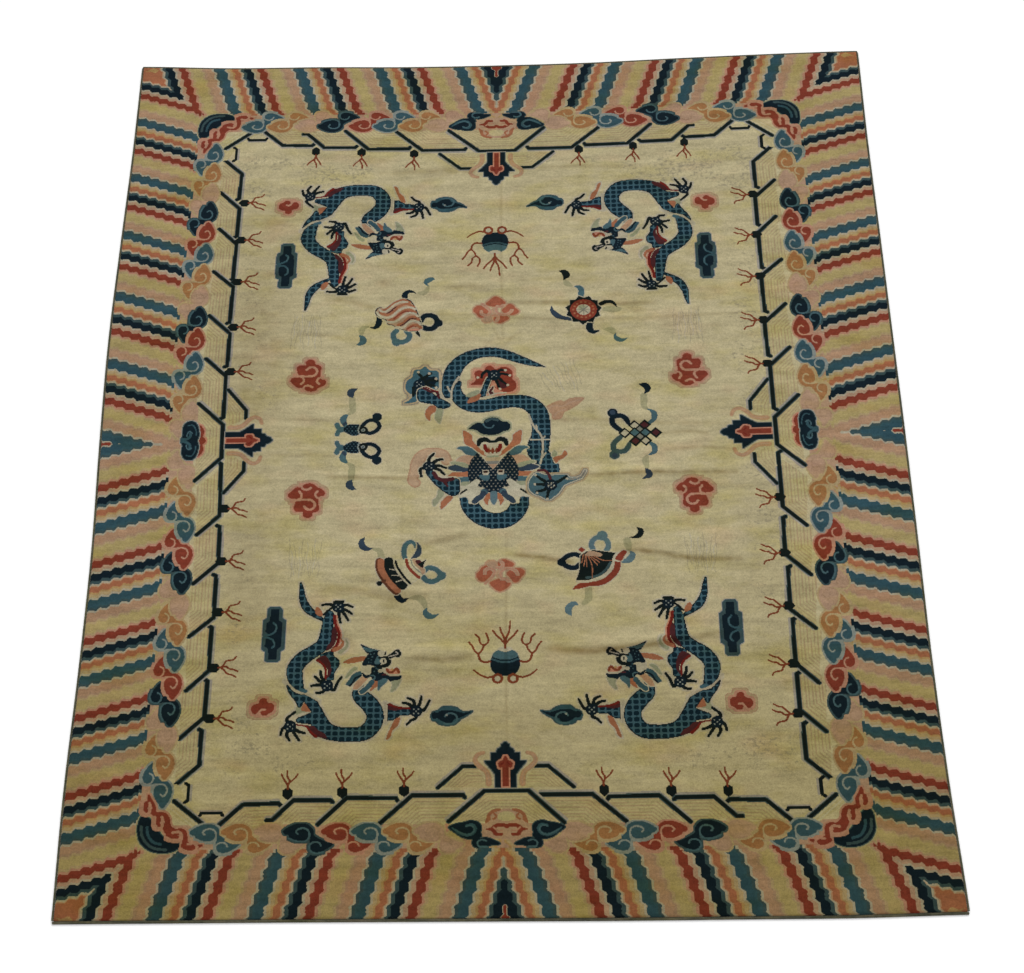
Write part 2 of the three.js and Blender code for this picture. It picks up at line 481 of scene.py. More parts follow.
for place in QUARTERS:
    film = Film(*place)
    film.patch("wheat", (-960, 1100), (-960, 1170), (-860, 1240), (-800, 1242), (-785, 1236),
               (-845, 1200), (-875, 1165), (-900, 1115), curved=False)
    for gap in (10, 20, 30):
        film.line("cream", 4, (-833 - gap, 1228 + gap * 0.6), (-911 - gap, 1163 + gap * 0.6),
                  over="wheat")
    film.line("lilac", 11, (-827, 1226), (-904, 1160))
    edge(film, [(-833, 1228), (-911, 1163)])
    film.line("lilac", 8, (-836, 1194), (-780, 1194))
    film.line("black", 10, (-838, 1206), (-834, 1199), (-780, 1199), (-776, 1206))
    film.line("black", 10, (-882, 1167), (-874, 1161), (-874, 1116), (-882, 1110))
    film.line("lilac", 6, (-866, 1161), (-866, 1116))
    lay_down(film)
    for sideways, row in enumerate((TOP_CLOUDS, SIDE_CLOUDS)):
        for n, (x, y) in enumerate(row):
            cloud(Film(*place), x, y, *CLOUD_DYES[n % 5], sideways)
print(4 * (len(TOP_CLOUDS) + len(SIDE_CLOUDS)), "clouds")


# %% The corner piece: a dark arch over a chain of red scrolls
def corner(place):
    arch = Film(*place)
    arch.patch("navy", (-1000, 1212), (-1006, 1245), (-998, 1280), (-975, 1304), (-945, 1314),
               (-912, 1312), (-888, 1296), (-905, 1276), (-930, 1270), (-950, 1250), (-962, 1228),
               (-985, 1208))
    arch.stroke("teal", 8, (-996, 1238), (-992, 1266), (-975, 1290), (-955, 1302), (-925, 1306))
    arch.stroke("blue", 8, (-980, 1240), (-976, 1262), (-962, 1282), (-940, 1290))
    lay_down(arch, ("teal", 1), ("sage", 1))
    chain = Film(*place)
    chain.stroke("red", 16, (-981, 1146, 7), (-978, 1160, 14), (-968, 1178, 16), (-966, 1196, 15),
                 (-952, 1203, 15), (-936, 1204, 15), (-927, 1216, 16), (-926, 1232, 20),
                 (-922, 1246, 26), (-904, 1256, 22), (-888, 1249, 12), (-877, 1256, 12),
                 (-874, 1272, 13), (-874, 1286, 15), (-860, 1292, 14), (-846, 1298, 14),
                 (-830, 1294, 8))
    for x, y, turn in ((-988, 1182, 0), (-951, 1224, 0), (-905, 1268, 1), (-862, 1302, 1)):
        if turn:
            chain.stroke("red", (14, 9), (x - 16, y - 8), (x - 4, y), (x + 10, y + 1))
            chain.stroke("shell", 7.5, (x - 20, y + 3), (x - 4, y + 9), (x + 14, y + 8),
                         (x + 21, y - 4), (x + 12, y - 14), (x - 4, y - 12))
        else:
            chain.stroke("red", (14, 10), (x + 2, y - 12), (x, y + 2), (x + 3, y + 10))
            chain.stroke("shell", 7.5, (x - 9, y - 14), (x - 11, y + 4), (x - 3, y + 18),
                         (x + 10, y + 16), (x + 14, y), (x + 10, y - 14))
    lay_down(chain, ("shell", 2))
    tip = Film(*place)
    tip.patch("straw", (-1208, 1496), (-1178, 1516), (-1160, 1504), (-1172, 1492), (-1192, 1500),
              curved=False)
    lay_down(tip)


for place in QUARTERS:
    corner(place)
print("4 corners")

# %% [markdown]
# In the middle of each side the hills meet in a wide pair, with a vase-shaped mark that hangs into
# the field between two ribbons, and a cloud crest above. The four gates share one drawing, turned
# to face the middle. Those of the long sides are narrower and deeper.

# %% The gate in the middle of each side
GATES = {
    "far": ((AXIS_X, 1144), (1, 0), (0, 1)),
    "near": ((0, -1150), (1, 0), (0, -1)),
    "left": ((-846, 8), (0, 1), (-1, 0)),
    "right": ((829, 9), (0, 1), (1, 0)),
}


def gate(place, points, hooks=()):
    film = Film(*place)
    film.patch("wheat", *points, curved=False)
    (xa, ya), (xb, _), (xc, _), (xd, yd) = points
    for k in range(1, 9):
        g = FOAM * k
        foam = (xa + 1.05 * g, ya), (xb + 0.4 * g, g), (xc - 0.4 * g, g), (xd - 1.05 * g, yd)
        film.line("tan", 3.0, *foam, over="wheat")
    film.line("lilac", 13, (xa - 5, ya - 7), (xb - 2, -7), (xc + 2, -7), (xd + 4, yd - 8))
    for tip, s in zip(hooks, (-1, 1)):
        edge(film, [(tip + 40 * s, 0), (tip, 0), (tip - 6 * s, 9)])
        film.line("black", 10, (tip + 54 * s, 0), (tip + 30 * s, 0))
    edge(film, points)
    lay_down(film)


# One half of the vase and of its red shaft, from the gate down to just above the tip
VASE = [(28, -10), (28, -50), (40, -67), (59, -90), (40, -90), (39, -112), (24, -112), (22, -124),
        (13, -128), (10, -138)]
SHAFT = [(8, -12), (8, -70), (15, -68), (20, -73), (21, -83), (15, -89), (8, -91), (5, -99)]
RIBBON = [(47, -21), (47, -40), (54, -59), (73, -75), (84, -92), (77, -108), (61, -114)]


def gate_vase(place, long=1.0, shoulder=118, foot=-74):
    at, right, up = place
    place = at, right, [v * long for v in up]
    film = Film(*place)
    for half in film.halves():
        half.patch("wheat", (187, -12), (shoulder, foot), (80, foot), (50, -20), (20, -8),
                   curved=False)
        for g in (9.5, 19, 28.5, 38, 47.5):
            foam = (180 - g, -4), (shoulder - 0.45 * g, foot + g), (60, foot + g)
            half.line("tan", 3.0, *foam, over="wheat")
        half.line("lilac", 12, (190, -17), (shoulder + 3, foot - 6), (80, foot - 6))
        edge(half, [(187, -10), (shoulder, foot), (80, foot)], 13)
        half.stroke("tan", (19, 13), *RIBBON)
        half.stroke("apricot", (15, 10), *RIBBON)
        half.stroke("peach", 4, *RIBBON[:-1])
    lay_down(film)
    vase = Film(*place)
    vase.patch("navy", *VASE, (0, -147), *((-x, y) for x, y in VASE[::-1]), curved=False)
    lay_down(vase, ("teal", 1), ("lilac", 1))
    shaft = Film(*place)
    shaft.patch("red", *SHAFT, (0, -106), *((-x, y) for x, y in SHAFT[::-1]), curved=False)
    for half in shaft.halves():
        half.line("crimson", 3, (5, -86), (13, -78))
    lay_down(shaft, ("blush", 2))


for side, points, hooks, *vase in [
    ("far", [(-158, 90), (-58, 0), (62, 0), (157, 95)], ()),
    ("near", [(-158, 90), (-58, 0), (62, 0), (157, 95)], ()),
    ("left", [(-144, 78), (-61, 0), (57, 0), (136, 78)], (-84, 85), 1.03, 110, -66),
    ("right", [(-126, 78), (-50, 0), (48, 0), (126, 78)], (-80, 80), 1.14, 108, -63),
]:
    gate(GATES[side], points, hooks)
    gate_vase(GATES[side], *vase)
print("4 gates")


# %% Cloud crests over the gates
def end_crest(film):
    for half in film.halves():
        half.stroke("navy", 12, (75, 130), (87, 145), (83, 160))
        half.patch("navy", (158, 108), (142, 122), (126, 134), (104, 142), (84, 138), (72, 122),
                   (70, 104), (80, 92), (98, 88), (112, 92), (126, 94), (142, 98))
        half.stroke("ocean", 9, (148, 110, 5), (132, 122), (112, 130), (94, 126), (86, 112),
                    (94, 101), (110, 102, 6))
        half.stroke("steel", 4, (140, 115), (124, 125), (106, 130), (92, 122), (90, 110),
                    (100, 102), (112, 106))
        half.patch("navy", (95, 148), (88, 165), (65, 168), (45, 160), (20, 157), (35, 146),
                   (60, 138))
        half.stroke("steel", 5.5, (58, 147), (70, 144), (81, 152), (76, 164), (55, 165))
    lay_down(film, ("teal", 1))
    heart = Film(film.at, film.right, film.up)
    heart.patch("peach", (-68, 112), (-45, 135), (-12, 143), (12, 143), (45, 135), (68, 112),
                (55, 95), (45, 70), (20, 55), (-20, 55), (-45, 70), (-55, 95))
    for half in heart.halves():
        half.stroke("red", 11, (54, 113, 5), (38, 116), (30, 128), (15, 128, 9))
        half.stroke("red", 11, (40, 113), (28, 103), (10, 101), (0, 106))
        half.stroke("shell", 4.5, (12, 118), (24, 118), (36, 108))
    for half in heart.halves():
        half.stroke("salmon", 10, (57, 94, 6), (50, 84, 12), (47, 70), (34, 60), (18, 56, 7))
        half.stroke("salmon", 6, (36, 84), (28, 76), (33, 68))
    heart.patch("wheat", (-24, 84), (0, 90), (24, 84), (18, 66), (0, 62), (-18, 66))
    lay_down(heart)


def side_crest(film):
    for half in film.halves():
        half.stroke("red", 12, (58, 88, 6), (50, 72), (34, 62), (16, 68, 14), (12, 82, 10),
                    (24, 88, 7))
        half.stroke("peach", 3.5, (44, 74), (32, 70), (22, 76))
    film.patch("red", (-14, 60), (0, 50), (14, 60), (8, 78), (-8, 78))
    lay_down(film, ("blush", 2))
    above = Film(film.at, film.right, film.up)
    above.patch("navy", (-70, 98), (-62, 82), (-40, 74), (-18, 72), (0, 76), (18, 72), (40, 74),
                (62, 82), (70, 98), (62, 114), (40, 122), (18, 120), (0, 126), (-18, 120),
                (-40, 122), (-62, 114))
    for half in above.halves():
        half.stroke("ocean", 9, (4, 122), (6, 108), (16, 98), (27, 98, 7))
        half.stroke("steel", 4, (27, 92), (33, 99), (28, 106), (16, 108))
        half.stroke("ocean", 4, (20, 80), (40, 82), (56, 92), (54, 106))
    lay_down(above, ("teal", 1), ("lilac", 1))


end_crest(Film(*GATES["far"]))
end_crest(Film(*GATES["near"]))
side_crest(Film(*GATES["left"]))
side_crest(Film(*GATES["right"]))
print("4 crests")

# %% Buds between the hills, each with three sprigs that reach into the field
BUDS = {
    (0, -1): [(-610, 1147), (-458, 1143), (-285, 1136), (260, 1140), (440, 1145), (610, 1150)],
    (0, 1): [(-600, -1155), (-450, -1152), (-280, -1148), (270, -1150), (455, -1155), (610, -1158)],
    (1, 0): [(-832, y) for y in (932, 778, 610, 433, 262, -235, -415, -585, -765, -925)],
    (-1, 0): [(822, y) for y in (920, 755, 590, 420, 255, -225, -415, -590, -775, -930)],
}
END_SPRIGS = [
    [(14, 0), (26, 0), (36, -8), (47, -19), (58, -26)],
    [(24, 0), (38, -4), (52, 3), (68, 4)],
    [(24, 1), (35, 7), (46, 14), (58, 19)],
]
SIDE_SPRIGS = [
    [(14, 0), (24, 3), (30, 12), (35, 21), (48, 24), (57, 27), (62, 35)],
    [(24, 3), (37, 3), (46, -4), (58, -6), (70, -12)],
    [(22, 0), (32, -10), (42, -20), (54, -23), (66, -30)],
]
for (out_x, out_y), spots in BUDS.items():
    for spot in spots:
        film = Film(spot, (out_x, out_y), (-out_y, out_x))
        film.patch("black", (-20, 0), (-8, 14), (10, 14), (17, 4), (17, -4), (10, -14), (-8, -14),
                   curved=False)
        for sprig in SIDE_SPRIGS if out_x else END_SPRIGS:
            film.stroke("rust", (6.5, 5), *sprig)
        lay_down(film)
print(sum(len(spots) for spots in BUDS.values()), "buds")


# %% [markdown]
# ## The dragons
# Five dragons share the field: a small one in each corner and a large one in the middle that looks
# out of the carpet. Their scales are squares on the knot grid, not drawn one by one, because that
# is the only way a weaver can keep them in line. So a body is first drawn in one skin yarn, and the
# scales are then counted out inside it.

# %% Claws
def claw(film, palm, fingers, size=18):
    px, py = palm
    for finger in fingers:
        film.stroke("black", (12, 8), ((px + finger[0][0]) / 2, (py + finger[0][1]) / 2), *finger)
        film.dot("black", *finger[-1], 4.3)
    film.dot("navy", px, py, size)
    for dx, dy in ((-7, 7), (7, 7), (-7, -6), (7, -6), (0, 0)):
        film.dot("mist", px + dx, py + dy, 2.2)


print("each claw has five talons")

# %% Scales
SCALE_ACROSS, SCALE_ALONG = 18.0, 18.3
SCALE_CORNER, SCALE_SPOT = 0.42, 0.39  # shares of a scale, measured from its middle


def scales(film, start=(0, 0), pitch=(SCALE_ACROSS, SCALE_ALONG)):
    skin = film.knots == CODE["skin"]
    across = np.abs(((knot_x[None, :] - start[0]) / pitch[0]) % 1 - 0.5)
    along = np.abs(((knot_y[:, None] - start[1]) / pitch[1]) % 1 - 0.5)
    rim = skin & spread(~skin, 1)
    film.knots[skin & (across > SCALE_CORNER) & (along > SCALE_CORNER)] = CODE["steel"]
    film.knots[skin & (across ** 3 + along ** 3 < SCALE_SPOT ** 3)] = CODE["spots"]
    film.knots[rim] = CODE["navy"]


print("a scale is", round(SCALE_ACROSS / KNOT), "knots wide")

# %% A corner dragon's body, tail and claws
def corner_dragon(film):
    film.patch("lime", (-605, 918), (-585, 912), (-562, 908), (-565, 890), (-600, 885))
    film.patch("salmon", (-590, 905), (-572, 910), (-563, 905), (-575, 880), (-585, 885))
    film.patch("skin", (-597, 898), (-585, 880), (-590, 858), (-612, 848), (-637, 824), (-630, 850),
               (-612, 875))
    film.stroke("skin", 20, (-548, 905, 30), (-560, 885, 32), (-580, 868, 22), (-600, 862, 8))
    film.stroke("skin", 45, (-428, 835, 28), (-424, 860, 46), (-396, 888, 52), (-380, 918, 50),
                (-384, 950, 50), (-408, 976, 48), (-450, 982, 46), (-490, 978, 47), (-520, 966, 52),
                (-538, 940, 50), (-547, 905, 32))
    film.patch("skin", (-535, 955), (-570, 948), (-600, 944), (-602, 930), (-580, 920), (-560, 911),
               (-540, 912))
    film.stroke("skin", 40, (-590, 843, 12), (-603, 830, 32), (-614, 800, 46), (-614, 770, 47),
                (-592, 740, 46), (-562, 718, 42), (-538, 695, 40), (-530, 660, 36), (-526, 625, 32),
                (-522, 598, 24))
    film.stroke("skin", 20, (-540, 618, 10), (-562, 602, 20), (-588, 580, 26), (-603, 550, 22),
                (-607, 520, 15), (-611, 496, 7))
    film.patch("skin", (-527, 808), (-503, 812), (-500, 788), (-487, 765), (-490, 745), (-503, 735),
               (-508, 720), (-530, 722), (-545, 735), (-520, 760), (-512, 785))
    film.patch("skin", (-345, 940), (-328, 938), (-308, 924), (-280, 922), (-270, 912), (-280, 902),
               (-310, 902), (-345, 900), curved=False)
    scales(film, (-370, 907), (19.2, 18.0))
    film.patch("wine", (-578, 955), (-560, 975), (-545, 987), (-525, 992), (-512, 992), (-520, 978),
               (-538, 968), (-552, 955), (-600, 948), (-600, 954), curved=False)
    film.patch("wine", (-527, 812), (-520, 785), (-530, 765), (-556, 748), (-535, 733), (-522, 740),
               (-512, 765), (-512, 790))
    film.patch("wine", (-528, 718), (-510, 706), (-499, 682), (-498, 655), (-504, 636), (-513, 652),
               (-514, 685), (-524, 700))
    film.patch("wine", (-345, 904), (-325, 908), (-300, 904), (-280, 904), (-282, 899), (-312, 898),
               (-332, 888), (-346, 886), curved=False)
    film.stroke("blush", 5, (-504, 716), (-490, 694), (-487, 660), (-498, 630), (-502, 604))
    film.stroke("crimson", 9, (-510, 716), (-496, 694), (-493, 660), (-504, 630), (-508, 604))
    film.stroke("crimson", (4, 9), (-600, 950), (-574, 956), (-560, 974), (-545, 987))
    film.stroke("crimson", (8, 6), (-552, 748), (-536, 761), (-526, 780), (-527, 808))
    film.stroke("crimson", (8, 5), (-340, 888), (-318, 897), (-280, 901))
    film.stroke("salmon", (14, 5), (-503, 714), (-487, 706), (-480, 692), (-486, 680))
    film.stroke("lime", (13, 4), (-487, 722), (-472, 710), (-467, 694), (-472, 682))
    film.patch("salmon", (-561, 600), (-545, 606), (-545, 590), (-560, 574), (-566, 585))
    film.patch("salmon", (-346, 997), (-334, 990), (-328, 970), (-314, 955), (-308, 930),
               (-322, 934), (-331, 952), (-339, 972))
    film.stroke("bone", 6.5, (-351, 946), (-351, 915), (-352, 884))
    film.stroke("bone", (5, 7), (-540, 878), (-575, 857), (-612, 842), (-642, 812))
    film.line("skin", 12, (-594, 842), (-582, 846))
    claw(film, (-619, 955),
         [[(-640, 962), (-645, 980)], [(-628, 982), (-619, 998)], [(-604, 980), (-592, 998)],
          [(-593, 972), (-577, 976)], [(-630, 932), (-608, 911)]])
    claw(film, (-520, 829),
         [[(-548, 826), (-565, 829)], [(-545, 812), (-556, 800)], [(-538, 800), (-541, 783)],
          [(-533, 849), (-550, 851)], [(-500, 842), (-490, 818), (-480, 802)]])
    claw(film, (-263, 910),
         [[(-264, 932), (-276, 938), (-288, 951)], [(-285, 887), (-301, 884)],
          [(-272, 877), (-287, 869)], [(-253, 885), (-249, 865)], [(-240, 905), (-226, 878)]])
    claw(film, (-498, 575),
         [[(-495, 602), (-490, 626)], [(-478, 600), (-468, 618)], [(-472, 587), (-458, 597)],
          [(-474, 568), (-457, 575)], [(-525, 566), (-545, 568)]])
    film.stroke("black", 7, (-540, 600), (-526, 585), (-510, 573))
    film.line("black", 10, (-510, 559), (-485, 558))

# %% A corner dragon's head, in profile
def corner_head(film):
    film.patch("lime", (-470, 806), (-458, 800), (-446, 786), (-434, 774), (-444, 770), (-458, 782))
    film.patch("salmon", (-397, 846), (-384, 838), (-370, 822), (-372, 808), (-386, 812),
               (-392, 830))
    film.patch("steel", (-373, 846), (-364, 832), (-349, 818), (-350, 806), (-372, 806),
               (-376, 826))
    film.patch("lime", (-338, 850), (-322, 840), (-311, 820), (-310, 806), (-336, 808), (-334, 828))
    film.patch("sea", (-467, 826), (-452, 828), (-440, 816), (-426, 802), (-420, 786), (-436, 786),
               (-450, 796), (-458, 810))
    film.patch("rose", (-446, 838), (-434, 840), (-420, 826), (-404, 806), (-410, 796), (-424, 803),
               (-438, 818))
    film.stroke("navy", 6, (-455, 829), (-446, 818), (-440, 806), (-424, 797))
    film.stroke("sea", 15, (-420, 848), (-404, 834), (-392, 818))
    film.patch("salmon", (-477, 756), (-462, 759), (-444, 757), (-422, 752), (-410, 750),
               (-410, 738), (-428, 737), (-446, 739), (-462, 745))
    film.patch("navy", (-428, 697), (-418, 714), (-408, 726), (-394, 728), (-384, 720), (-366, 719),
               (-384, 714), (-404, 708))
    film.patch("steel", (-422, 706), (-410, 720), (-392, 722), (-376, 718), (-396, 712))
    film.patch("pale", (-424, 788), (-398, 790), (-392, 778), (-398, 764), (-424, 766),
               curved=False)
    film.patch("navy", (-420, 788), (-418, 800), (-408, 806), (-396, 802), (-388, 812), (-374, 814),
               (-360, 806), (-348, 808), (-340, 816), (-326, 812), (-312, 810), (-308, 798),
               (-328, 798), (-348, 793), (-360, 788), (-366, 772), (-394, 772), (-396, 790),
               (-408, 796))
    film.patch("navy", (-422, 764), (-396, 765), (-380, 772), (-368, 764), (-366, 740), (-372, 722),
               (-388, 718), (-402, 726), (-412, 740))
    film.patch("steel", (-386, 758), (-374, 762), (-366, 752), (-368, 736), (-380, 738))
    film.stroke("steel", 4, (-398, 796), (-388, 797), (-384, 804), (-388, 810))
    for x, y in ((-403, 755), (-395, 748), (-404, 743), (-393, 738), (-398, 730), (-388, 728),
                 (-396, 757), (-384, 770), (-376, 778), (-386, 784), (-374, 790), (-381, 776)):
        film.dot("steel", x, y, 1.9)
    film.line("wine", 6, (-362, 795), (-349, 793))
    film.stroke("bone", (11, 5), (-370, 783), (-358, 782), (-345, 793), (-330, 797), (-316, 796))
    film.patch("blush", (-354, 780), (-347, 790), (-334, 793), (-316, 792), (-312, 782),
               (-322, 774), (-334, 780), (-344, 776))
    film.stroke("rust", 8, (-350, 778), (-344, 786), (-335, 787), (-328, 780), (-321, 776),
                (-315, 788))
    film.dot("straw", -335, 778, 4)
    film.stroke("black", (10, 14), (-373, 769), (-360, 768), (-348, 763), (-344, 753))
    film.stroke("black", 9, (-344, 754), (-352, 748), (-347, 742))
    film.patch("pale", (-372, 737), (-360, 741), (-354, 732), (-358, 722), (-372, 720), (-378, 728))
    film.dot("pale", -361, 752, 9.5)
    film.line("black", 4.5, (-359.5, 755), (-359.5, 749))
    film.line("black", 6, (-374, 741), (-350, 739))
    film.line("black", 5, (-357, 731), (-355, 724))
    film.patch("black", (-354, 744), (-340, 744), (-327, 739), (-317, 741), (-309, 729),
               (-317, 715), (-328, 717), (-339, 727), (-350, 735))
    film.stroke("lilac", 3.6, (-346, 738), (-336, 735), (-325, 732), (-319, 728), (-325, 723))


# Fine hair beyond the tip of each tail, faded to grey
HAIR_SHARES = 0.0, 0.2, 0.4, 0.6, 0.8, 1.0


def tuft(film, starts, ends):
    for n, ((xa, ya), (xb, yb)) in enumerate(zip(starts, ends)):
        across = [xa + (xb - xa) * t + 2.5 * math.sin(9 * t + n) for t in HAIR_SHARES]
        along = [ya + (yb - ya) * t for t in HAIR_SHARES]
        film.stroke("pale" if n % 3 == 1 else "hair", 2.6, *zip(across, along))


CORNER_PLACES = [
    ((0, 0), (1, 0), (0, 1)),
    ((-11, -3), (-0.985, 0), (0, 1)),
    ((10, 4), (0.99, 0), (0, -1)),
    ((-14, 4), (-0.982, 0), (0, -1)),
]
for place in CORNER_PLACES:
    film = Film(*place)
    tuft(film, [(-642 + 6.5 * n, 478 - 9 * (n * 5 % 4)) for n in range(13)],
         [(-652 + 8 * n, 346 + 13 * (n * 3 % 5)) for n in range(13)])
    lay_down(film)
    film = Film(*place)
    corner_dragon(film)
    lay_down(film, ("pale", 2))
    film = Film(*place)
    corner_head(film)
    lay_down(film, ("pale", 1))
print(len(CORNER_PLACES), "corner dragons")

# %% The middle dragon's body and its red and blue clouds
def centre_dragon():
    tufts = Film()
    tuft(tufts, [(116 + 12 * n, 246 + 6 * n - 8 * (n % 2)) for n in range(10)],
         [(150 + 11 * n, 176 + 8 * (n * 3 % 4)) for n in range(10)])
    lay_down(tufts)
    back = Film()
    back.patch("rose", (128, 112), (150, 130), (180, 143), (192, 138), (212, 150), (254, 150),
               (236, 126), (208, 106), (192, 97), (182, 76), (156, 72), (150, 96))
    back.stroke("peach", 6, (140, 112), (162, 124), (186, 120), (212, 134), (240, 142))
    back.stroke("peach", 5, (160, 84), (172, 100), (196, 108))
    for yarn, wide in (("rose", 34), ("petal", 24)):
        back.stroke(yarn, wide, (-168, -70), (-178, -48), (-205, -40), (-238, -46), (-258, -72),
                    (-264, -108), (-270, -140), (-262, -150))
        back.stroke(yarn, wide - 4, (-240, -52), (-250, -80), (-252, -110))
    lay_down(back)
    mist = Film()
    mist.patch("cloud", (-296, 140), (-272, 162), (-291, 192), (-287, 224), (-272, 236),
               (-266, 262), (-247, 266), (-232, 277), (-217, 262), (-196, 260), (-186, 240),
               (-188, 200), (-205, 186), (-235, 178), (-252, 172), (-256, 150), (-272, 142))
    mist.patch("navy", (-262, 172), (-262, 205), (-250, 232), (-228, 236), (-200, 238), (-196, 222),
               (-212, 196), (-240, 182))
    claw(mist, (-250, 210),
         [[(-242, 236), (-252, 250)], [(-230, 238), (-214, 250)], [(-212, 226), (-194, 222)],
          [(-216, 208), (-196, 198)], [(-268, 195), (-268, 168)]])
    for x, y in ((-252, 256), (-219, 250), (-198, 230), (-198, 197), (-276, 170)):
        mist.dot("bone", x, y, 4.6)
    lay_down(mist, ("tan", 2), ("grey", 1), ("tan", 1))
    tail = Film()
    tail.stroke("skin", 40, (138, 267, 2), (105, 279, 18), (60, 298, 30), (20, 316, 34),
                (-30, 328, 35), (-80, 320, 38), (-120, 295, 45), (-145, 258, 52), (-155, 220, 50),
                (-160, 188, 42), (-163, 168, 24))
    tail.patch("skin", (-254, 190), (-228, 192), (-195, 165), (-156, 138), (-160, 122), (-188, 118),
               (-208, 134), (-252, 148))
    scales(tail, start=(4, 4))
    tail.stroke("wine", 9, (-236, 196), (-216, 184), (-196, 180), (-190, 160))
    tail.stroke("crimson", 4, (-230, 200), (-208, 188), (-192, 182))
    tail.patch("salmon", (-215, 131), (-199, 126), (-200, 110), (-214, 95), (-218, 74), (-231, 90),
               (-230, 112))
    tail.patch("lime", (-195, 120), (-178, 116), (-180, 90), (-188, 64), (-203, 85), (-200, 105))
    lay_down(tail, ("pale", 1))
    spine = Film()
    spine.stroke("bone", 5.5, (-187, 250), (-187, 215), (-186, 178), (-175, 158), (-160, 152),
                 (-150, 138))
    lay_down(spine)
    red = Film()
    red.patch("red", (-92, 205), (-77, 222), (-80, 250), (-65, 259), (-50, 255), (-45, 270),
              (-30, 277), (-15, 262), (0, 268), (15, 271), (30, 262), (38, 245), (36, 225),
              (46, 212), (46, 190), (30, 177), (0, 177), (-12, 190), (-14, 206), (-22, 214),
              (-30, 200), (-50, 205))
    red.patch("crimson", (-42, 200), (-28, 212), (-18, 200), (-14, 180), (-40, 172), (-50, 180))
    red.patch("wine", (-6, 222), (16, 212), (20, 196), (4, 190), (-8, 200))
    red.stroke("blush", 13, (-22, 212), (-25, 196), (-16, 182), (2, 173))
    lay_down(red, ("blush", 3), ("tan", 1), ("blush", 1))
    body = Film()
    body.stroke("skin", 50, (-127, 215, 14), (-135, 185, 30), (-127, 155, 44), (-95, 132, 50),
                (-50, 127, 47), (0, 138, 47), (40, 143, 47), (82, 134, 52), (110, 104, 58),
                (119, 60, 58), (118, 15, 58), (110, -20, 66), (108, -45, 64), (124, -72, 60),
                (142, -98, 56), (152, -128, 36))
    body.stroke("skin", 20, (-37, 225, 16), (-46, 200, 17), (-56, 168, 20))
    scales(body, start=(4, 2))
    body.stroke("wine", (6, 12), (-24, 195), (-32, 180), (-28, 172))
    lay_down(body, ("pale", 1))
    marks = Film()
    claw(marks, (-20, 240),
         [[(-42, 256), (-56, 244), (-58, 232)], [(0, 258), (12, 256)], [(6, 244), (24, 240)],
          [(0, 222), (14, 208)], [(-12, 215), (-6, 196)]], 20)
    for x, y in ((-70, 232), (15, 258), (29, 238), (21, 202), (-3, 188)):
        marks.dot("pale", x, y, 4.5)
    marks.patch("salmon", (-104, 139), (-86, 141), (-68, 150), (-62, 170), (-78, 172), (-94, 158))
    marks.patch("lime", (-108, 164), (-94, 178), (-68, 186), (-68, 172), (-90, 160))
    marks.stroke("pale", 5, (-62, 156), (-40, 161), (-15, 171), (15, 174))
    marks.stroke("bone", 6.5, (-128, 236), (-140, 216), (-150, 188), (-152, 155))
    marks.stroke("bone", 5.5, (-163, 200), (-158, 186), (-150, 175))
    marks.stroke("bone", 6.5, (83, 92), (96, 52), (120, 10), (122, -40), (114, -86))
    for a, b in (((105, 52), (108, 30)), ((130, 12), (119, -4)), ((131, -48), (119, -66)),
                 ((112, 0.0), (86, 1))):
        marks.line("bone", 5, a, b)
    marks.line("pale", 3, (85, 0.0), (148, 0.0))
    lay_down(marks)


centre_dragon()
print("middle dragon's body laid down")

# %% The middle dragon's collar
FACE_AXIS = -28.5


def centre_collar():
    ring = Film()
    ring.patch("cream", (-78, -200), (-60, -245), (-25, -258), (12, -245), (26, -200), (-25, -180))
    ring.stroke("skin", 55, (-104, -195), (-98, -232), (-78, -262), (-48, -280), (-22, -285),
                (5, -280), (30, -262), (47, -232), (50, -195))
    scales(ring, start=(2, 0))
    lay_down(ring, ("pale", 1))


centre_collar()
print("collar of scales under the chin")

# %% [markdown]
# The face is the only motif that looks straight at the viewer, so its halves mirror each other.
# Each stroke is drawn twice, once on each half of the film.

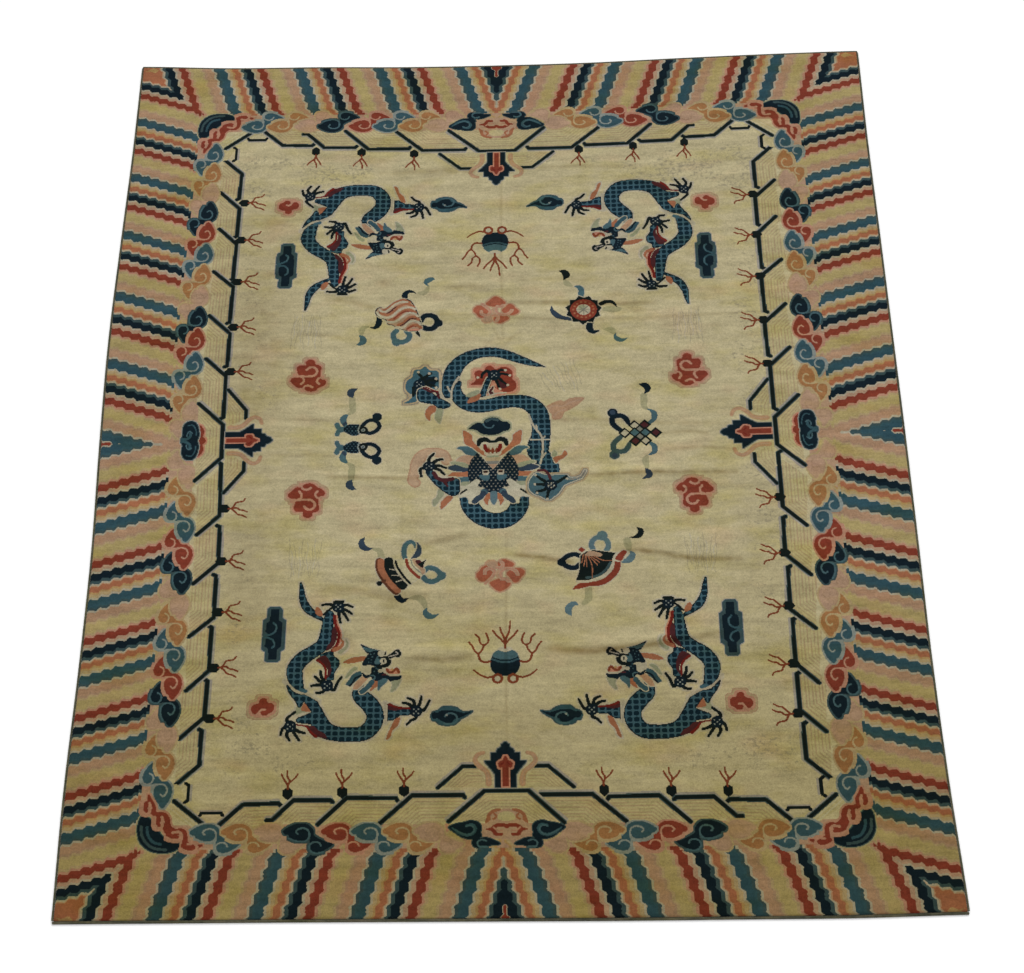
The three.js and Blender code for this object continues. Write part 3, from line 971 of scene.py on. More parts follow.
# %% The middle dragon's face, seen from the front
def centre_face(film):
    for half in film.halves(FACE_AXIS):
        half.patch("lime", (-158, -78), (-130, -72), (-100, -80), (-98, -95), (-115, -98),
                   (-140, -88))
        half.patch("peach", (-75, -48), (-95, -53), (-115, -52), (-130, -60), (-140, -72),
                   (-115, -78), (-95, -88), (-80, -75))
        half.patch("steel", (-137, -27), (-122, -19), (-102, -21), (-86, -33), (-72, -48),
                   (-90, -54), (-110, -48), (-122, -34))
        half.patch("indigo", (-168, -98), (-150, -87), (-135, -87), (-118, -96), (-100, -99),
                   (-100, -112), (-140, -110))
        half.patch("orange", (-152, -113), (-100, -112), (-100, -131), (-168, -130), curved=False)
        half.patch("steel", (-147, -133), (-100, -131), (-100, -149), (-130, -150), (-136, -140),
                   curved=False)
        half.patch("lime", (-132, -151), (-100, -149), (-100, -163), (-128, -160))
        half.patch("orange", (-116, 37), (-91, 20), (-88, 0), (-66, -30), (-48, -46), (-45, -58),
                   (-62, -50), (-90, -25), (-111, -12), (-116, 10))
    cheek = [(-75, -43), (-94, -68), (-104, -95), (-104.5, -120), (-103, -140), (-97, -152),
             (-83, -142), (-70, -150), (-76, -165), (-55, -170), (-46, -184)]
    brow = [(0, -66), (-14, -86), (FACE_AXIS, -105), (-43, -86), (-57, -66)]
    film.patch("navy", *cheek, (FACE_AXIS, -187), *((2 * FACE_AXIS - x, y) for x, y in cheek[::-1]),
               *brow, curved=False)
    for row in range(13):
        for k in range(-7, 8):
            film.dot("grey", FACE_AXIS + (k + 0.5 * (row % 2)) * 12.8, -56 - 10 * row, 2.2,
                     over="navy")
    film.patch("pale", (-60, -12), (3, -12), (-4, -52), (-16, -60), (-41, -60), (-53, -52),
               curved=False)
    film.patch("rust", (-46, -36), (-40, -24), (-34.5, -37), (FACE_AXIS, -24), (-22.5, -37),
               (-17, -24), (-11, -36), (-16, -48), (-22.5, -40), (FACE_AXIS, -50), (-34.5, -40),
               (-41, -48), curved=False)
    for half in film.halves(FACE_AXIS):
        half.patch("crimson", (-57, -13), (-48, -13), (-42, -32), (-43, -44), (-50, -42),
                   (-57, -28), curved=False)
        half.stroke("black", 15, (-71, -16, 10), (-66, -1, 17), (-50, 4, 16), (-37, -4, 10),
                    (-28.5, -5, 9))
        half.patch("steel", (-41, -124), (-70, -126), (-64, -140), (-51, -146), (-41, -142))
        half.patch("bone", (-60, -106), (-42, -106), (-40, -118), (-45, -127), (-58, -127),
                   (-62, -118), curved=False)
        half.patch("brown", (-57, -110), (-45, -110), (-45, -117), (-57, -117), curved=False)
        half.line("black", 5, (-56, -113), (-46, -113))
        half.stroke("indigo", 20, (-54, -182), (-68, -198), (-86, -214))
        half.stroke("steel", 5, (-64, -178), (-54, -178), (-46, -190))
        half.patch("white", (-80, -140), (-68, -147), (-76, -164), (-68, -176), (-70, -190),
                   (-86, -202), (-100, -222), (-107, -200), (-134, -199), (-116, -184),
                   (-136, -166), (-112, -163), (-94, -152))
        half.line("black", 6, (-128, -188), (-110, -176))
        half.patch("orange", (-56, -203), (-46, -189), (-37, -190), (-37, -206), (-44, -212),
                   (-47, -230), (-58, -215))
    film.patch("lime", (-48, -55), (-9, -55), (-12, -62), (-45, -62), curved=False)
    film.patch("tan", (-54, -60), (-3, -60), (-8, -74), (-49, -74), curved=False)
    film.patch("grey", (-49, -73), (-8, -73), (-14, -86), (-43, -86), curved=False)
    film.patch("mauve", (-43, -85), (-14, -85), (FACE_AXIS, -103), curved=False)
    film.patch("sky", (-38, -184), (-19, -184), (-18, -210), (FACE_AXIS, -229), (-39, -210))
    film.line("pale", 3.5, (-192, -128), (-140, -131))
    lay_down(film, ("pale", 1))
    crown = Film()
    crown.patch("navy", (-101, 43), (-86, 58), (-70, 66), (-56, 63), (-50, 76), (-30, 84),
                (-10, 79), (0, 69), (18, 66), (27, 52), (20, 36), (5, 32), (-10, 22), (-35, 20),
                (-60, 24), (-75, 36), (-90, 42))
    crown.stroke("teal", 9, (-46, 70), (-30, 78), (-12, 73))
    crown.stroke("steel", 4.5, (-56, 60), (-47, 48), (-32, 46), (-23, 55))
    lay_down(crown, ("lime", 2), ("cream", 1))


centre_face(Film())
print("face laid down")

# %% Hands of the middle dragon
def centre_claws():
    left = Film()
    left.patch("salmon", (-166, -195), (-150, -200), (-164, -220), (-186, -242), (-187, -220),
               (-176, -204))
    left.patch("lime", (-192, -172), (-176, -184), (-186, -205), (-206, -232), (-211, -212),
               (-199, -198))
    left.patch("salmon", (153, -66), (165, -60), (178, -56), (188, -40), (196, -53), (186, -66),
               (170, -76), (160, -86))
    left.patch("lime", (148, -58), (156, -40), (166, -50), (160, -62))
    left.patch("skin", (-232, -110), (-212, -102), (-202, -122), (-180, -145), (-150, -136),
               (-130, -142), (-130, -185), (-150, -196), (-172, -186), (-196, -165), (-216, -140))
    scales(left, start=(0.0, 4))
    left.stroke("wine", 13, (-206, -116), (-196, -134), (-176, -142), (-150, -138))
    left.stroke("wine", (12, 6), (-176, -146), (-166, -162))
    claw(left, (-221, -90),
         [[(-220, -62), (-206, -45)], [(-196, -68), (-180, -66)], [(-190, -88), (-170, -97)],
          [(-190, -104), (-175, -121)], [(-247, -102), (-244, -127)]])
    lay_down(left, ("pale", 1))
    sleeve = Film()
    sleeve.patch("steel", (78, -152), (88, -134), (104, -120), (135, -130), (188, -128),
                 (202, -140), (238, -140), (205, -154), (182, -166), (166, -190), (150, -204),
                 (134, -214), (112, -202), (88, -190), (76, -170))
    sleeve.stroke("grey", 6, (200, -145), (220, -143), (236, -135), (248, -115))
    lay_down(sleeve, ("pale", 1), ("grey", 1), ("tan", 2))
    right = Film()
    claw(right, (143, -163),
         [[(118, -146), (99, -130)], [(120, -162), (96, -160)], [(122, -180), (100, -185)],
          [(134, -188), (130, -208)], [(170, -150), (190, -135)]], 19)
    for x, y in ((98, -128), (95, -161), (101, -190), (131, -211), (192, -143)):
        right.dot("bone", x, y, 4.2)
    for x, y in ((136, -165), (144, -158), (144, -172), (153, -165)):
        right.dot("bone", x, y, 2.4)
    right.stroke("wine", 9, (106, -112), (124, -111), (136, -125), (142, -142))
    lay_down(right)


centre_claws()
print("two more hands laid down")

# %% [markdown]
# ## The small motifs
# Each is drawn round its own 0, 0 and laid down where it belongs, turned or mirrored.

# %% Flaming pearls, one at each end of the middle
def pearl(ball):
    ball.patch("navy", (-43, 0), (-36, 26), (-18, 39), (18, 39), (36, 26), (43, 0), (34, -26),
               (12, -40), (-12, -40), (-34, -26))
    ball.patch("steel", (-37, -20), (-20, -12), (0, -9), (20, -12), (37, -20), (28, -36), (0, -46),
               (-28, -36))
    ball.stroke("sea", 6, (-38, -12), (-18, -4), (0, -2), (18, -4), (38, -12))
    ball.patch("pale", (-18, -40), (0, -34), (18, -40), (12, -48), (-12, -48))
    lay_down(ball, ("pale", 1))
    flames = Film(ball.at, ball.right, ball.up)
    for s in (-1, 1):
        flames.dot("pale", s * 22, 49, 10)
        flames.ring("rust", 8, s * 22, 49, 12.5)
    for half in flames.halves():
        half.stroke("rust", (7, 5), (35, 42), (50, 45), (62, 41), (74, 35), (90, 22))
        half.stroke("rust", 7, (44, -4), (60, -2), (72, -10), (77, -30))
        half.stroke("rust", 6, (77, -28), (88, -40), (94, -54), (104, -68))
        half.stroke("rust", 6, (77, -28), (66, -42), (61, -58))
        half.stroke("rust", 6, (61, -56), (72, -66), (75, -82), (86, -93))
        half.stroke("rust", 6, (61, -56), (50, -66), (49, -80), (55, -96))
        half.stroke("rust", 6, (2, -62), (12, -76), (24, -88), (36, -106))
    flames.stroke("rust", (8, 5), (0, -66), (4, -84), (11, -100), (15, -135))
    flames.stroke("rust", (8, 5), (0, -66), (-4, -84), (-11, -100), (-15, -115))
    flames.stroke("rust", 7, (0, -48), (0, -70))
    lay_down(flames)


repeat(pearl, (-15.5, 760, 1, 1), (1, -757, 1, -1))
print("2 pearls")

# %% Curled blue clouds
def curled_cloud(film):
    film.patch("ocean", (-57, 0), (-52, 15), (-41, 18), (-34, 26), (-15, 31), (8, 29), (20, 20),
               (28, 10), (40, 4), (60, -13), (45, -11), (30, -13), (15, -24), (-5, -29), (-25, -27),
               (-36, -17), (-50, -12))
    film.patch("navy", (-42, 4), (-34, 12), (-16, 22), (2, 22), (10, 12), (28, 6), (44, -2),
               (58, -12), (36, -8), (18, -12), (0, -16), (-24, -16), (-38, -8))
    film.patch("navy", (-55, -2), (-50, 9), (-40, 8), (-38, -8), (-50, -10))
    film.stroke("steel", (5, 6), (-17, 3), (-12, -4), (0, -7), (13, -1), (18, 12), (12, 22),
                (-2, 27), (-20, 25))
    film.dot("mist", -12, -1, 3.4)
    lay_down(film, ("teal", 1), ("pale", 1))


repeat(curled_cloud, (-168, 918, 1, 1), (148, 918, -1, 1), (-152, -920, 1, -1), (160, -920, -1, -1))
print("4 curled clouds")

# %% Small red clouds of four lobes
def clover(film):
    film.patch("red", (-29, 0), (-26, 12), (-16, 18), (-8, 25), (3, 25), (9, 18), (14, 14),
               (22, 20), (32, 17), (37, 4), (32, -8), (22, -11), (15, -15), (13, -25), (4, -30),
               (-6, -26), (-9, -16), (-19, -14), (-27, -8))
    film.stroke("shell", 6.5, (17, 22), (12, 13), (5, 6), (-3, 7))
    lay_down(film, ("shell", 3), ("tan", 2), ("mauve", 1))


repeat(clover, (-690, 913, 1, 1), (668, 897, -1, 1), (-680, -892, -1, -1), (662, -890, 1, -1))
print("4 small red clouds")

# %% Tall navy clouds, curled at both ends
def pillar_cloud(film):
    film.patch("teal", (-20, 82), (-12, 88), (14, 88), (21, 80), (21, 54), (31, 46), (32, -44),
               (21, -52), (20, -80), (12, -89), (-14, -89), (-21, -80), (-20, -52), (-31, -46),
               (-32, 2), (-25, 6), (-32, 10), (-31, 46), (-20, 54), curved=False)
    film.patch("navy", (-12, 80), (12, 80), (13, 48), (23, 38), (24, -38), (13, -46), (12, -82),
               (-12, -82), (-13, -44), (-22, -38), (-24, -8), (-14, 0), (-22, 14), (-24, 38),
               (-13, 48), curved=False)
    film.stroke("ocean", 6, (-27, 8), (-14, 11), (-1, 19), (4, 33), (-3, 43))
    film.stroke("ocean", 6, (-25, 0), (-9, 0), (4, -10), (6, -27), (-2, -38))
    film.stroke("steel", 3, (0, 20), (5, 34), (2, 42))
    film.stroke("steel", 3, (3, -8), (7, -24), (3, -34))
    lay_down(film, ("sea", 1), ("lilac", 1))


repeat(pillar_cloud, (-680, 672, 1, 1), (656, 680, -1, 1), (-666, -660, 1, -1), (652, -656, -1, -1))
print("4 tall clouds")

# %% Red cloud heads, cut into curls by pink lines
def red_crest(film):
    film.patch("red", (-13, 36), (-12, 50), (2, 59), (15, 52), (18, 40), (28, 37), (36, 28),
               (34, 4), (37, -16), (48, -18), (53, -29), (44, -42), (30, -49), (20, -59), (6, -63),
               (-8, -59), (-20, -50), (-34, -49), (-48, -36), (-58, -24), (-54, -13), (-42, -9),
               (-33, -8), (-36, 6), (-40, 24), (-32, 36))
    film.stroke("shell", 8, (-42, -2), (-26, -5), (-8, -6), (12, -4), (22, 6), (22, 19), (12, 28),
                (0, 27), (-9, 18))
    film.stroke("shell", (6, 8), (-30, -6), (-19, -12), (-17, -24), (-24, -34))
    film.stroke("shell", (6, 8), (38, -10), (28, -14), (24, -25), (30, -34))
    film.stroke("shell", (6, 8), (-18, -56), (-14, -44), (-2, -40), (10, -46))
    lay_down(film, ("shell", 2), ("peach", 1), ("tan", 1), ("mauve", 1))


repeat(red_crest, (-588, 247, 1, 1), (578, 245, -1, 1), (-585, -212, 1, -1), (570, -212, -1, -1))
print("4 red cloud heads")

# %% Two faded flowers of curled petals
def soft_flower(film):
    film.patch("clay", (-36, 24), (-24, 42), (-6, 54), (12, 45), (26, 28), (14, 17), (-2, 12),
               (-16, 14))
    film.patch("clay", (-76, -2), (-66, 17), (-48, 20), (-32, 10), (-26, -4), (-34, -18),
               (-44, -31), (-58, -26), (-66, -14))
    film.patch("clay", (14, -4), (24, 10), (36, 24), (48, 20), (58, 6), (68, -8), (56, -20),
               (42, -22), (28, -18))
    film.patch("clay", (-12, -32), (4, -18), (22, -18), (36, -34), (22, -46), (6, -52), (-8, -44))
    film.patch("mauve", (-46, -36), (-32, -22), (-16, -26), (-20, -42), (-34, -48))
    film.patch("mauve", (-14, 0), (-8, 5), (0, -2), (-4, -12), (-12, -10))
    lay_down(film, ("apricot", 1), ("peach", 1))
    curls = Film(film.at, film.right, film.up)
    curls.stroke("shell", 5.5, (-48, 26), (-34, 12), (-24, 0), (-22, -14), (-34, -22), (-48, -16),
                 (-50, -6))
    curls.stroke("shell", 5.5, (-2, 10), (-4, -6), (8, -18), (26, -20), (40, -12), (46, -2))
    curls.stroke("shell", 5.5, (-16, -24), (-4, -22), (4, -32), (-2, -42))
    curls.stroke("shell", 5, (20, 20), (10, 12), (0, 14))
    lay_down(curls, ("peach", 1))


repeat(soft_flower, (-8, 488, 1, 1), (-8, -470, 1, -1))
print("2 flowers")


# %% [markdown]
# ## The emblems
# Six lucky things stand round the middle dragon, each tied with ribbons that end in crescents:
# a conch, a wheel, a pair of fish, an endless knot, a canopy and a parasol. They are drawn at
# their own place on the carpet, so their points are plain carpet coordinates.

# %% Ribbons: loops with a lobe, crescents, and faded sage tails
def ribbons(crescents=(), tails=(), loops=(), lobes=()):
    film = Film()
    for points in tails:
        film.stroke("sage", (14, 20), *points)
    for yarn, *points in crescents:
        film.stroke(yarn, 18, *points)
    lay_down(film)
    film = Film()
    for yarn, width, *points in loops:
        film.stroke(yarn, width, *points)
    for yarn, x, y, radius in lobes:
        film.dot(yarn, x, y, radius)
    lay_down(film, ("pale", 1))


print("ribbons first, so that each emblem lies over their ends")

# %% The conch
ribbons(
    crescents=[
        ("navy", (-298, 538, 18), (-299, 556, 18), (-288, 567, 14), (-275, 567, 8), (-264, 559, 2)),
        ("steel", (-206, 614, 2), (-216, 616, 14), (-228, 610, 20), (-234, 600, 12),
         (-226, 588, 2)),
        ("navy", (-379, 465, 14), (-377, 448, 20), (-383, 432, 16), (-392, 426, 10),
         (-406, 427, 2)),
        ("steel", (-437, 397, 3), (-427, 386, 18), (-425, 374, 22), (-434, 364, 12),
         (-446, 361, 2)),
    ],
    tails=[[(-226, 588, 8), (-231, 570), (-240, 561), (-256, 561, 8)],
           [(-410, 430, 6), (-426, 424), (-431, 412), (-430, 400, 8)]],
    loops=[
        ("navy", 18, (-246, 452), (-238, 466), (-222, 471), (-204, 464), (-196, 446), (-204, 426),
         (-222, 420), (-240, 426)),
        ("steel", 17, (-322, 414), (-332, 400), (-326, 378), (-308, 370), (-288, 378), (-281, 396),
         (-290, 412)),
    ],
    lobes=[("navy", -191, 441, 13), ("steel", -321, 370, 14)],
)
SHELL = [(-300, 539), (-282, 533), (-268, 512), (-257, 482), (-249, 456), (-243, 430), (-254, 414),
         (-275, 411), (-300, 417), (-322, 425), (-334, 434), (-350, 439), (-356, 454), (-376, 465),
         (-389, 477), (-390, 492), (-382, 503), (-372, 505), (-364, 499), (-352, 507), (-338, 521),
         (-322, 532)]
conch = Film()
conch.patch("black", *SHELL)
conch.patch("mauve", *((-318 + (x + 318) * 0.95, 472 + (y - 472) * 0.95) for x, y in SHELL))
for yarn, width, points in [
    ("salmon", 11, [(-362, 494), (-346, 503), (-330, 521), (-305, 534), (-285, 524)]),
    ("wine", 5, [(-376, 486), (-362, 477), (-344, 486), (-326, 506), (-300, 518)]),
    ("salmon", 9, [(-374, 481), (-352, 475), (-334, 486), (-316, 508), (-292, 518), (-270, 506)]),
    ("salmon", 12, [(-342, 453), (-324, 464), (-307, 484), (-288, 494), (-266, 484)]),
    ("red", 5, [(-330, 460), (-312, 478), (-292, 488), (-270, 480)]),
    ("salmon", 12, [(-316, 436), (-300, 443), (-285, 460), (-268, 465), (-255, 456)]),
    ("wine", 4, [(-310, 433), (-294, 444), (-280, 458), (-262, 458)]),
    ("salmon", 10, [(-286, 424), (-272, 434), (-258, 435), (-246, 425)]),
    ("red", 4, [(-290, 420), (-276, 430), (-262, 430)]),
    ("pale", 7,
     [(-378, 497), (-372, 489), (-358, 487), (-344, 500), (-328, 518), (-308, 527), (-290, 526)]),
    ("pale", 8,
     [(-384, 484), (-374, 470), (-354, 463), (-336, 470), (-320, 488), (-300, 502), (-280, 504),
      (-266, 497)]),
    ("pale", 8,
     [(-350, 448), (-332, 447), (-316, 456), (-300, 471), (-284, 481), (-266, 477), (-256, 467)]),
    ("pale", 8, [(-322, 428), (-302, 426), (-290, 440), (-274, 450), (-256, 446), (-248, 438)]),
    ("blush", 7, [(-284, 416), (-266, 418), (-252, 418)]),
]:
    conch.stroke(yarn, width, *points)
conch.patch("black", (-264, 406), (-256, 413), (-250, 406), (-248, 389), (-258, 399), curved=False)
lay_down(conch, ("pale", 1))
print("conch laid down")

# %% The wheel
ribbons(
    crescents=[
        ("black", (188, 639, 2), (203, 634, 18), (210, 622, 24), (206, 612, 12), (201, 602, 2)),
        ("indigo", (222, 447, 14), (198, 451, 14), (176, 463, 19), (164, 480, 13), (162, 501, 2)),
        ("black", (318, 504, 16), (334, 512, 14), (350, 511, 13), (360, 502, 9), (367, 489, 2)),
        ("steel", (360, 389, 2), (358, 376, 12), (366, 366, 17), (380, 362, 12), (397, 370, 2)),
    ],
    tails=[[(205, 600, 8), (212, 588, 20), (226, 578, 8)],
           [(330, 482, 18), (352, 480, 26), (372, 480, 18)],
           [(326, 405, 6), (346, 402, 22), (356, 388, 10)]],
    loops=[("steel", 18, (254, 536), (257, 560, 19), (248, 573, 13), (236, 575, 3)),
           ("navy", 18, (283, 438), (279, 412, 22), (290, 397, 14), (309, 401, 3))],
)
WHEEL_X, WHEEL_Y = 262, 482
wheel = Film((WHEEL_X, WHEEL_Y))
star = [(r * math.cos(t), r * math.sin(t)) for r,
        t in zip([58, 48] * 11, np.linspace(0.1, 2 * math.pi + 0.1, 23))]
wheel.patch("black", *star, curved=False)
wheel.dot("red", 0, 0, 42)
for n in range(14):
    turn = n * math.pi / 7
    wheel.dot("salmon", 31.5 * math.cos(turn), 31.5 * math.sin(turn), 3.6)
wheel.dot("pale", 0, 0, 22)
wheel.dot("lime", -4, 8, 12)
for n in range(4):
    turn = n * math.pi / 4
    arm = 20 * math.cos(turn), 20 * math.sin(turn)
    wheel.line("grey", 3.2, arm, (-arm[0], -arm[1]))
lay_down(wheel, ("pale", 1))
print("wheel laid down")


# %% The pair of fish
def fish(film):
    film.stroke("steel", 16, (-499, 62, 16), (-494, 50, 15), (-478, 46, 16))
    film.stroke("steel", 15, (-499, 26, 14), (-494, 38, 15), (-480, 44, 16))
    film.patch("navy", (-478, 50), (-466, 61), (-450, 64), (-432, 61), (-429, 42), (-432, 26),
               (-448, 21), (-464, 27), (-478, 38))
    for row in range(6):
        for k in range(5):
            film.dot("steel", -474 + 10.5 * (k + 0.5 * (row % 2)), 24 + 7.6 * row, 1.9, over="navy")
    film.stroke("navy", 13, (-424, 55), (-412, 71), (-396, 79), (-378, 72), (-371, 56), (-380, 40),
                (-398, 31), (-412, 34))
    film.dot("navy", -378, 90, 15)
    film.dot("black", -420, 42, 14)
    film.dot("mist", -420, 42, 6)
    film.dot("indigo", -420, 42, 3)
    film.stroke("mist", 4, (-431, 27), (-435, 42), (-431, 56))
    lay_down(film, ("pale", 1))
    end = Film(film.at, film.right, film.up)
    end.stroke("steel", 19, (-476, 62, 15), (-481, 80, 21), (-475, 92, 15), (-465, 100, 4))
    end.stroke("indigo", 10, (-479, 62), (-474, 68))
    end.stroke("sage", 21, (-464, 101, 8), (-452, 112, 18), (-453, 130, 22), (-455, 158, 20))
    end.stroke("indigo", 18, (-452, 162, 3), (-460, 176, 22), (-455, 187, 18), (-440, 194, 3))
    lay_down(end)


repeat(fish, (0, 0, 1, 1), (0, 23, 1, -1))
print("2 fish")


# %% The endless knot
DIAMONDS = {
    (402, 43): "pale", (433, 44): "wine", (372, 17): "pale", (402, 17): "steel", (434, 17): "steel",
    (466, 15): "wine", (403, -13): "wine", (434, -13): "bone",
}
for yarn, at in zip(("navy", "teal"), ((0, 0), (0, 31))):
    film = Film(at, (1, 0), (0, 1 if yarn == "navy" else -1))
    film.stroke(yarn, 17, (366, 22, 12), (350, 36), (336, 54), (337, 74), (352, 80), (368, 78),
                (379, 66), (386, 50, 12), (398, 44, 10))
    film.dot(yarn, 338, 91, 16)
    film.dot("indigo", 338, 93, 9)
    lay_down(film, ("pale", 1))
ribbons(
    crescents=[
        ("steel", (450, 52, 12), (463, 66, 16), (464, 84, 18), (454, 96, 8), (444, 101, 3)),
        ("navy", (424, 194, 3), (442, 188, 20), (449, 174, 18), (438, 158, 2)),
        ("steel", (446, -20, 10), (460, -36, 17), (457, -54, 15), (440, -64, 3)),
        ("indigo", (427, -112, 2), (436, -126, 18), (438, -138, 18), (418, -149, 2)),
    ],
    tails=[[(442, 102, 10), (435, 116, 20), (436, 150, 22)],
           [(434, -68, 10), (430, -84, 22), (433, -108, 14)]],
)
knot = Film()
for x, y in ((418, 30), (418, 2)):
    knot.patch("grey", (x, y + 12), (x + 12, y), (x, y - 12), (x - 12, y), curved=False)
for (x, y), yarn in DIAMONDS.items():
    for size, dye in ((20, "black"), (12.5, yarn)):
        knot.patch(dye, (x, y + size), (x + size, y), (x, y - size), (x - size, y), curved=False)
lay_down(knot)
print(len(DIAMONDS), "diamonds in the endless knot")

# %% The canopy
ribbons(
    crescents=[
        ("indigo", (-413, -338, 3), (-421, -352, 16), (-418, -368, 20), (-404, -377, 14),
         (-390, -374, 3)),
        ("navy", (-314, -520, 16), (-312, -536, 20), (-298, -551, 16), (-281, -543, 3)),
        ("steel", (-226, -576, 3), (-230, -590, 16), (-220, -602, 20), (-206, -604, 12),
         (-192, -596, 3)),
    ],
    tails=[[(-388, -376, 8), (-368, -384, 18), (-361, -408, 20)],
           [(-280, -544, 6), (-252, -541, 20), (-236, -556, 20), (-230, -576, 10)]],
    loops=[
        ("steel", 14, (-293, -408, 14), (-296, -384, 16), (-290, -362, 15), (-276, -353, 13),
         (-266, -360, 10), (-263, -372, 5)),
        ("indigo", 15, (-257, -356, 3), (-251, -376, 14), (-256, -396, 18), (-270, -410, 8)),
        ("steel", 16, (-234, -452), (-222, -444), (-204, -448), (-190, -462), (-192, -478),
         (-208, -488), (-226, -486), (-238, -474)),
    ],
    lobes=[("steel", -184, -470, 13)],
)
canopy = Film()
canopy.patch("cream", (-376, -416), (-290, -416), (-262, -415), (-238, -438), (-240, -466),
             (-280, -500), (-312, -522), (-340, -500), (-366, -470), (-378, -440), curved=False)
for yarn, width, points in [
    ("brown", 24, [(-367, -420), (-365, -448), (-350, -478), (-328, -508), (-316, -519)]),
    ("salmon", 20, [(-363, -420), (-361, -446), (-346, -474), (-325, -502), (-312, -516)]),
    ("black", 28, [(-340, -420), (-337, -444), (-322, -472), (-298, -500)]),
    ("black", 7, [(-320, -420), (-313, -442), (-296, -470), (-276, -494)]),
    ("bone", 3.4, [(-326, -420), (-320, -446), (-304, -472), (-282, -497)]),
    ("bone", 3.2, [(-336, -447), (-321, -450)]),
    ("bone", 3.2, [(-329, -467), (-311, -468)]),
    ("bone", 3.2, [(-316, -488), (-298, -482)]),
    ("red", 9.5, [(-288, -416), (-283, -438), (-267, -460), (-250, -475)]),
    ("grey", 3.6, [(-275, -416), (-268, -437), (-252, -454), (-240, -464)]),
    ("mauve", 12, [(-264, -418), (-256, -434), (-242, -448), (-238, -458)]),
]:
    canopy.stroke(yarn, width, *points)
canopy.patch("wine", (-262, -420), (-250, -416), (-238, -432), (-240, -444), (-252, -436))
canopy.patch("black", (-256, -432), (-242, -442), (-229, -415), curved=False)
canopy.stroke("brown", 8, (-350, -484), (-364, -492))
canopy.dot("black", -366, -493, 8)
lay_down(canopy, ("pale", 1))
print("canopy laid down")

# %% The parasol
ribbons(
    crescents=[
        ("black", (393, -316, 3), (404, -328, 17), (399, -342, 17), (386, -349, 10),
         (370, -349, 2)),
        ("sky", (348, -432, 12), (366, -426, 22), (376, -410, 18), (372, -400, 8)),
        ("sky", (213, -572, 3), (202, -566, 14), (188, -576, 20), (184, -590, 20), (192, -606, 3)),
    ],
    tails=[[(362, -360, 22), (364, -376, 22), (367, -398, 10)],
           [(243, -516, 22), (243, -550, 22), (228, -568, 12)]],
    loops=[
        ("navy", 16, (222, -410), (204, -404), (182, -412), (168, -430), (184, -446), (206, -450),
         (220, -440)),
        ("sky", 16, (262, -392), (256, -370), (266, -351), (284, -346), (302, -358), (306, -378),
         (298, -396)),
    ],
    lobes=[("navy", 167, -431, 13), ("sky", 289, -341, 16)],
)
parasol = Film()
parasol.patch("black", (240, -395), (222, -410), (221, -440), (218, -464), (208, -490), (240, -492),
              (268, -487), (292, -474), (312, -448), (322, -420), (328, -402), (290, -395),
              (262, -390), curved=False)
parasol.stroke("teal", 8, (240, -482), (272, -476), (296, -458), (310, -436))
parasol.patch("mauve", (236, -410), (248, -394), (268, -396), (286, -404), (282, -414), (262, -412))
for points in ([(238, -412), (232, -446)], [(241, -412), (241, -448)],
               [(246, -413), (256, -446), (256, -482)], [(250, -414), (272, -442)],
               [(256, -414), (278, -434)], [(262, -412), (290, -427), (318, -428)],
               [(232, -404), (226, -434)]):
    parasol.stroke("salmon", 3.2, *points)
parasol.stroke("red", 18, (200, -518, 5), (222, -508, 18), (250, -503, 13), (280, -499, 18),
               (306, -484, 18), (327, -458, 19), (332, -432, 17))
parasol.line("red", 22, (336, -420), (350, -404))
parasol.stroke("pale", 8, (214, -494), (240, -495), (262, -488), (286, -478), (304, -462),
               (317, -441), (321, -420), (330, -404))
parasol.line("pale", 5, (322, -428), (336, -432))
parasol.line("pale", 5, (352, -418), (362, -402))
parasol.patch("red", (227, -378), (238, -388), (227, -398), (217, -388), curved=False)
lay_down(parasol, ("pale", 1))
print("parasol laid down")


# %% [markdown]
# ## Age and painted light
# Four marks are painted on the pile. Two come with age: the pile is worn thin and grey in places,
# mostly near the border, and old spills have left soft ochre spots. Two follow the ripples: creases
# are darkened in ochre, partly dirt and partly painted shade, and the crests beside them are
# lightened as painted highlight. Each is painted here as a soft mask on the knots, and the material
# later turns it into colour, broken up with noise. Painting the masks into the yarns would make
# them as sharp as the knots. Spots and the painted crease shade share one mask.

# %% Masks for worn pile, spots, shaded creases and highlighted crests
def blot(x, y, half_x, half_y):
    return np.exp(-((x_all - x) / half_x) ** 2 - ((y_all - y) / half_y) ** 2)


def crease(mask, strength, half, *points):
    path = smooth(points)
    for n, ((xa, ya), (xb, yb)) in enumerate(zip(path, path[1:])):
        low, high = (min(xa, xb), min(ya, yb)), (max(xa, xb), max(ya, yb))
        part, x, y = window([v - 3 * half for v in low], [v + 3 * half for v in high])
        run = (xb - xa) ** 2 + (yb - ya) ** 2 or 1e-9
        t = np.clip(((x - xa) * (xb - xa) + (y - ya) * (yb - ya)) / run, 0, 1)
        away = np.hypot(x - xa - t * (xb - xa), y - ya - t * (yb - ya))
        fade = strength * math.sin(math.pi * (n + 1) / (len(path) + 1)) ** 0.4
        mask[part] = np.maximum(mask[part], fade * np.exp(-(away / half) ** 2))


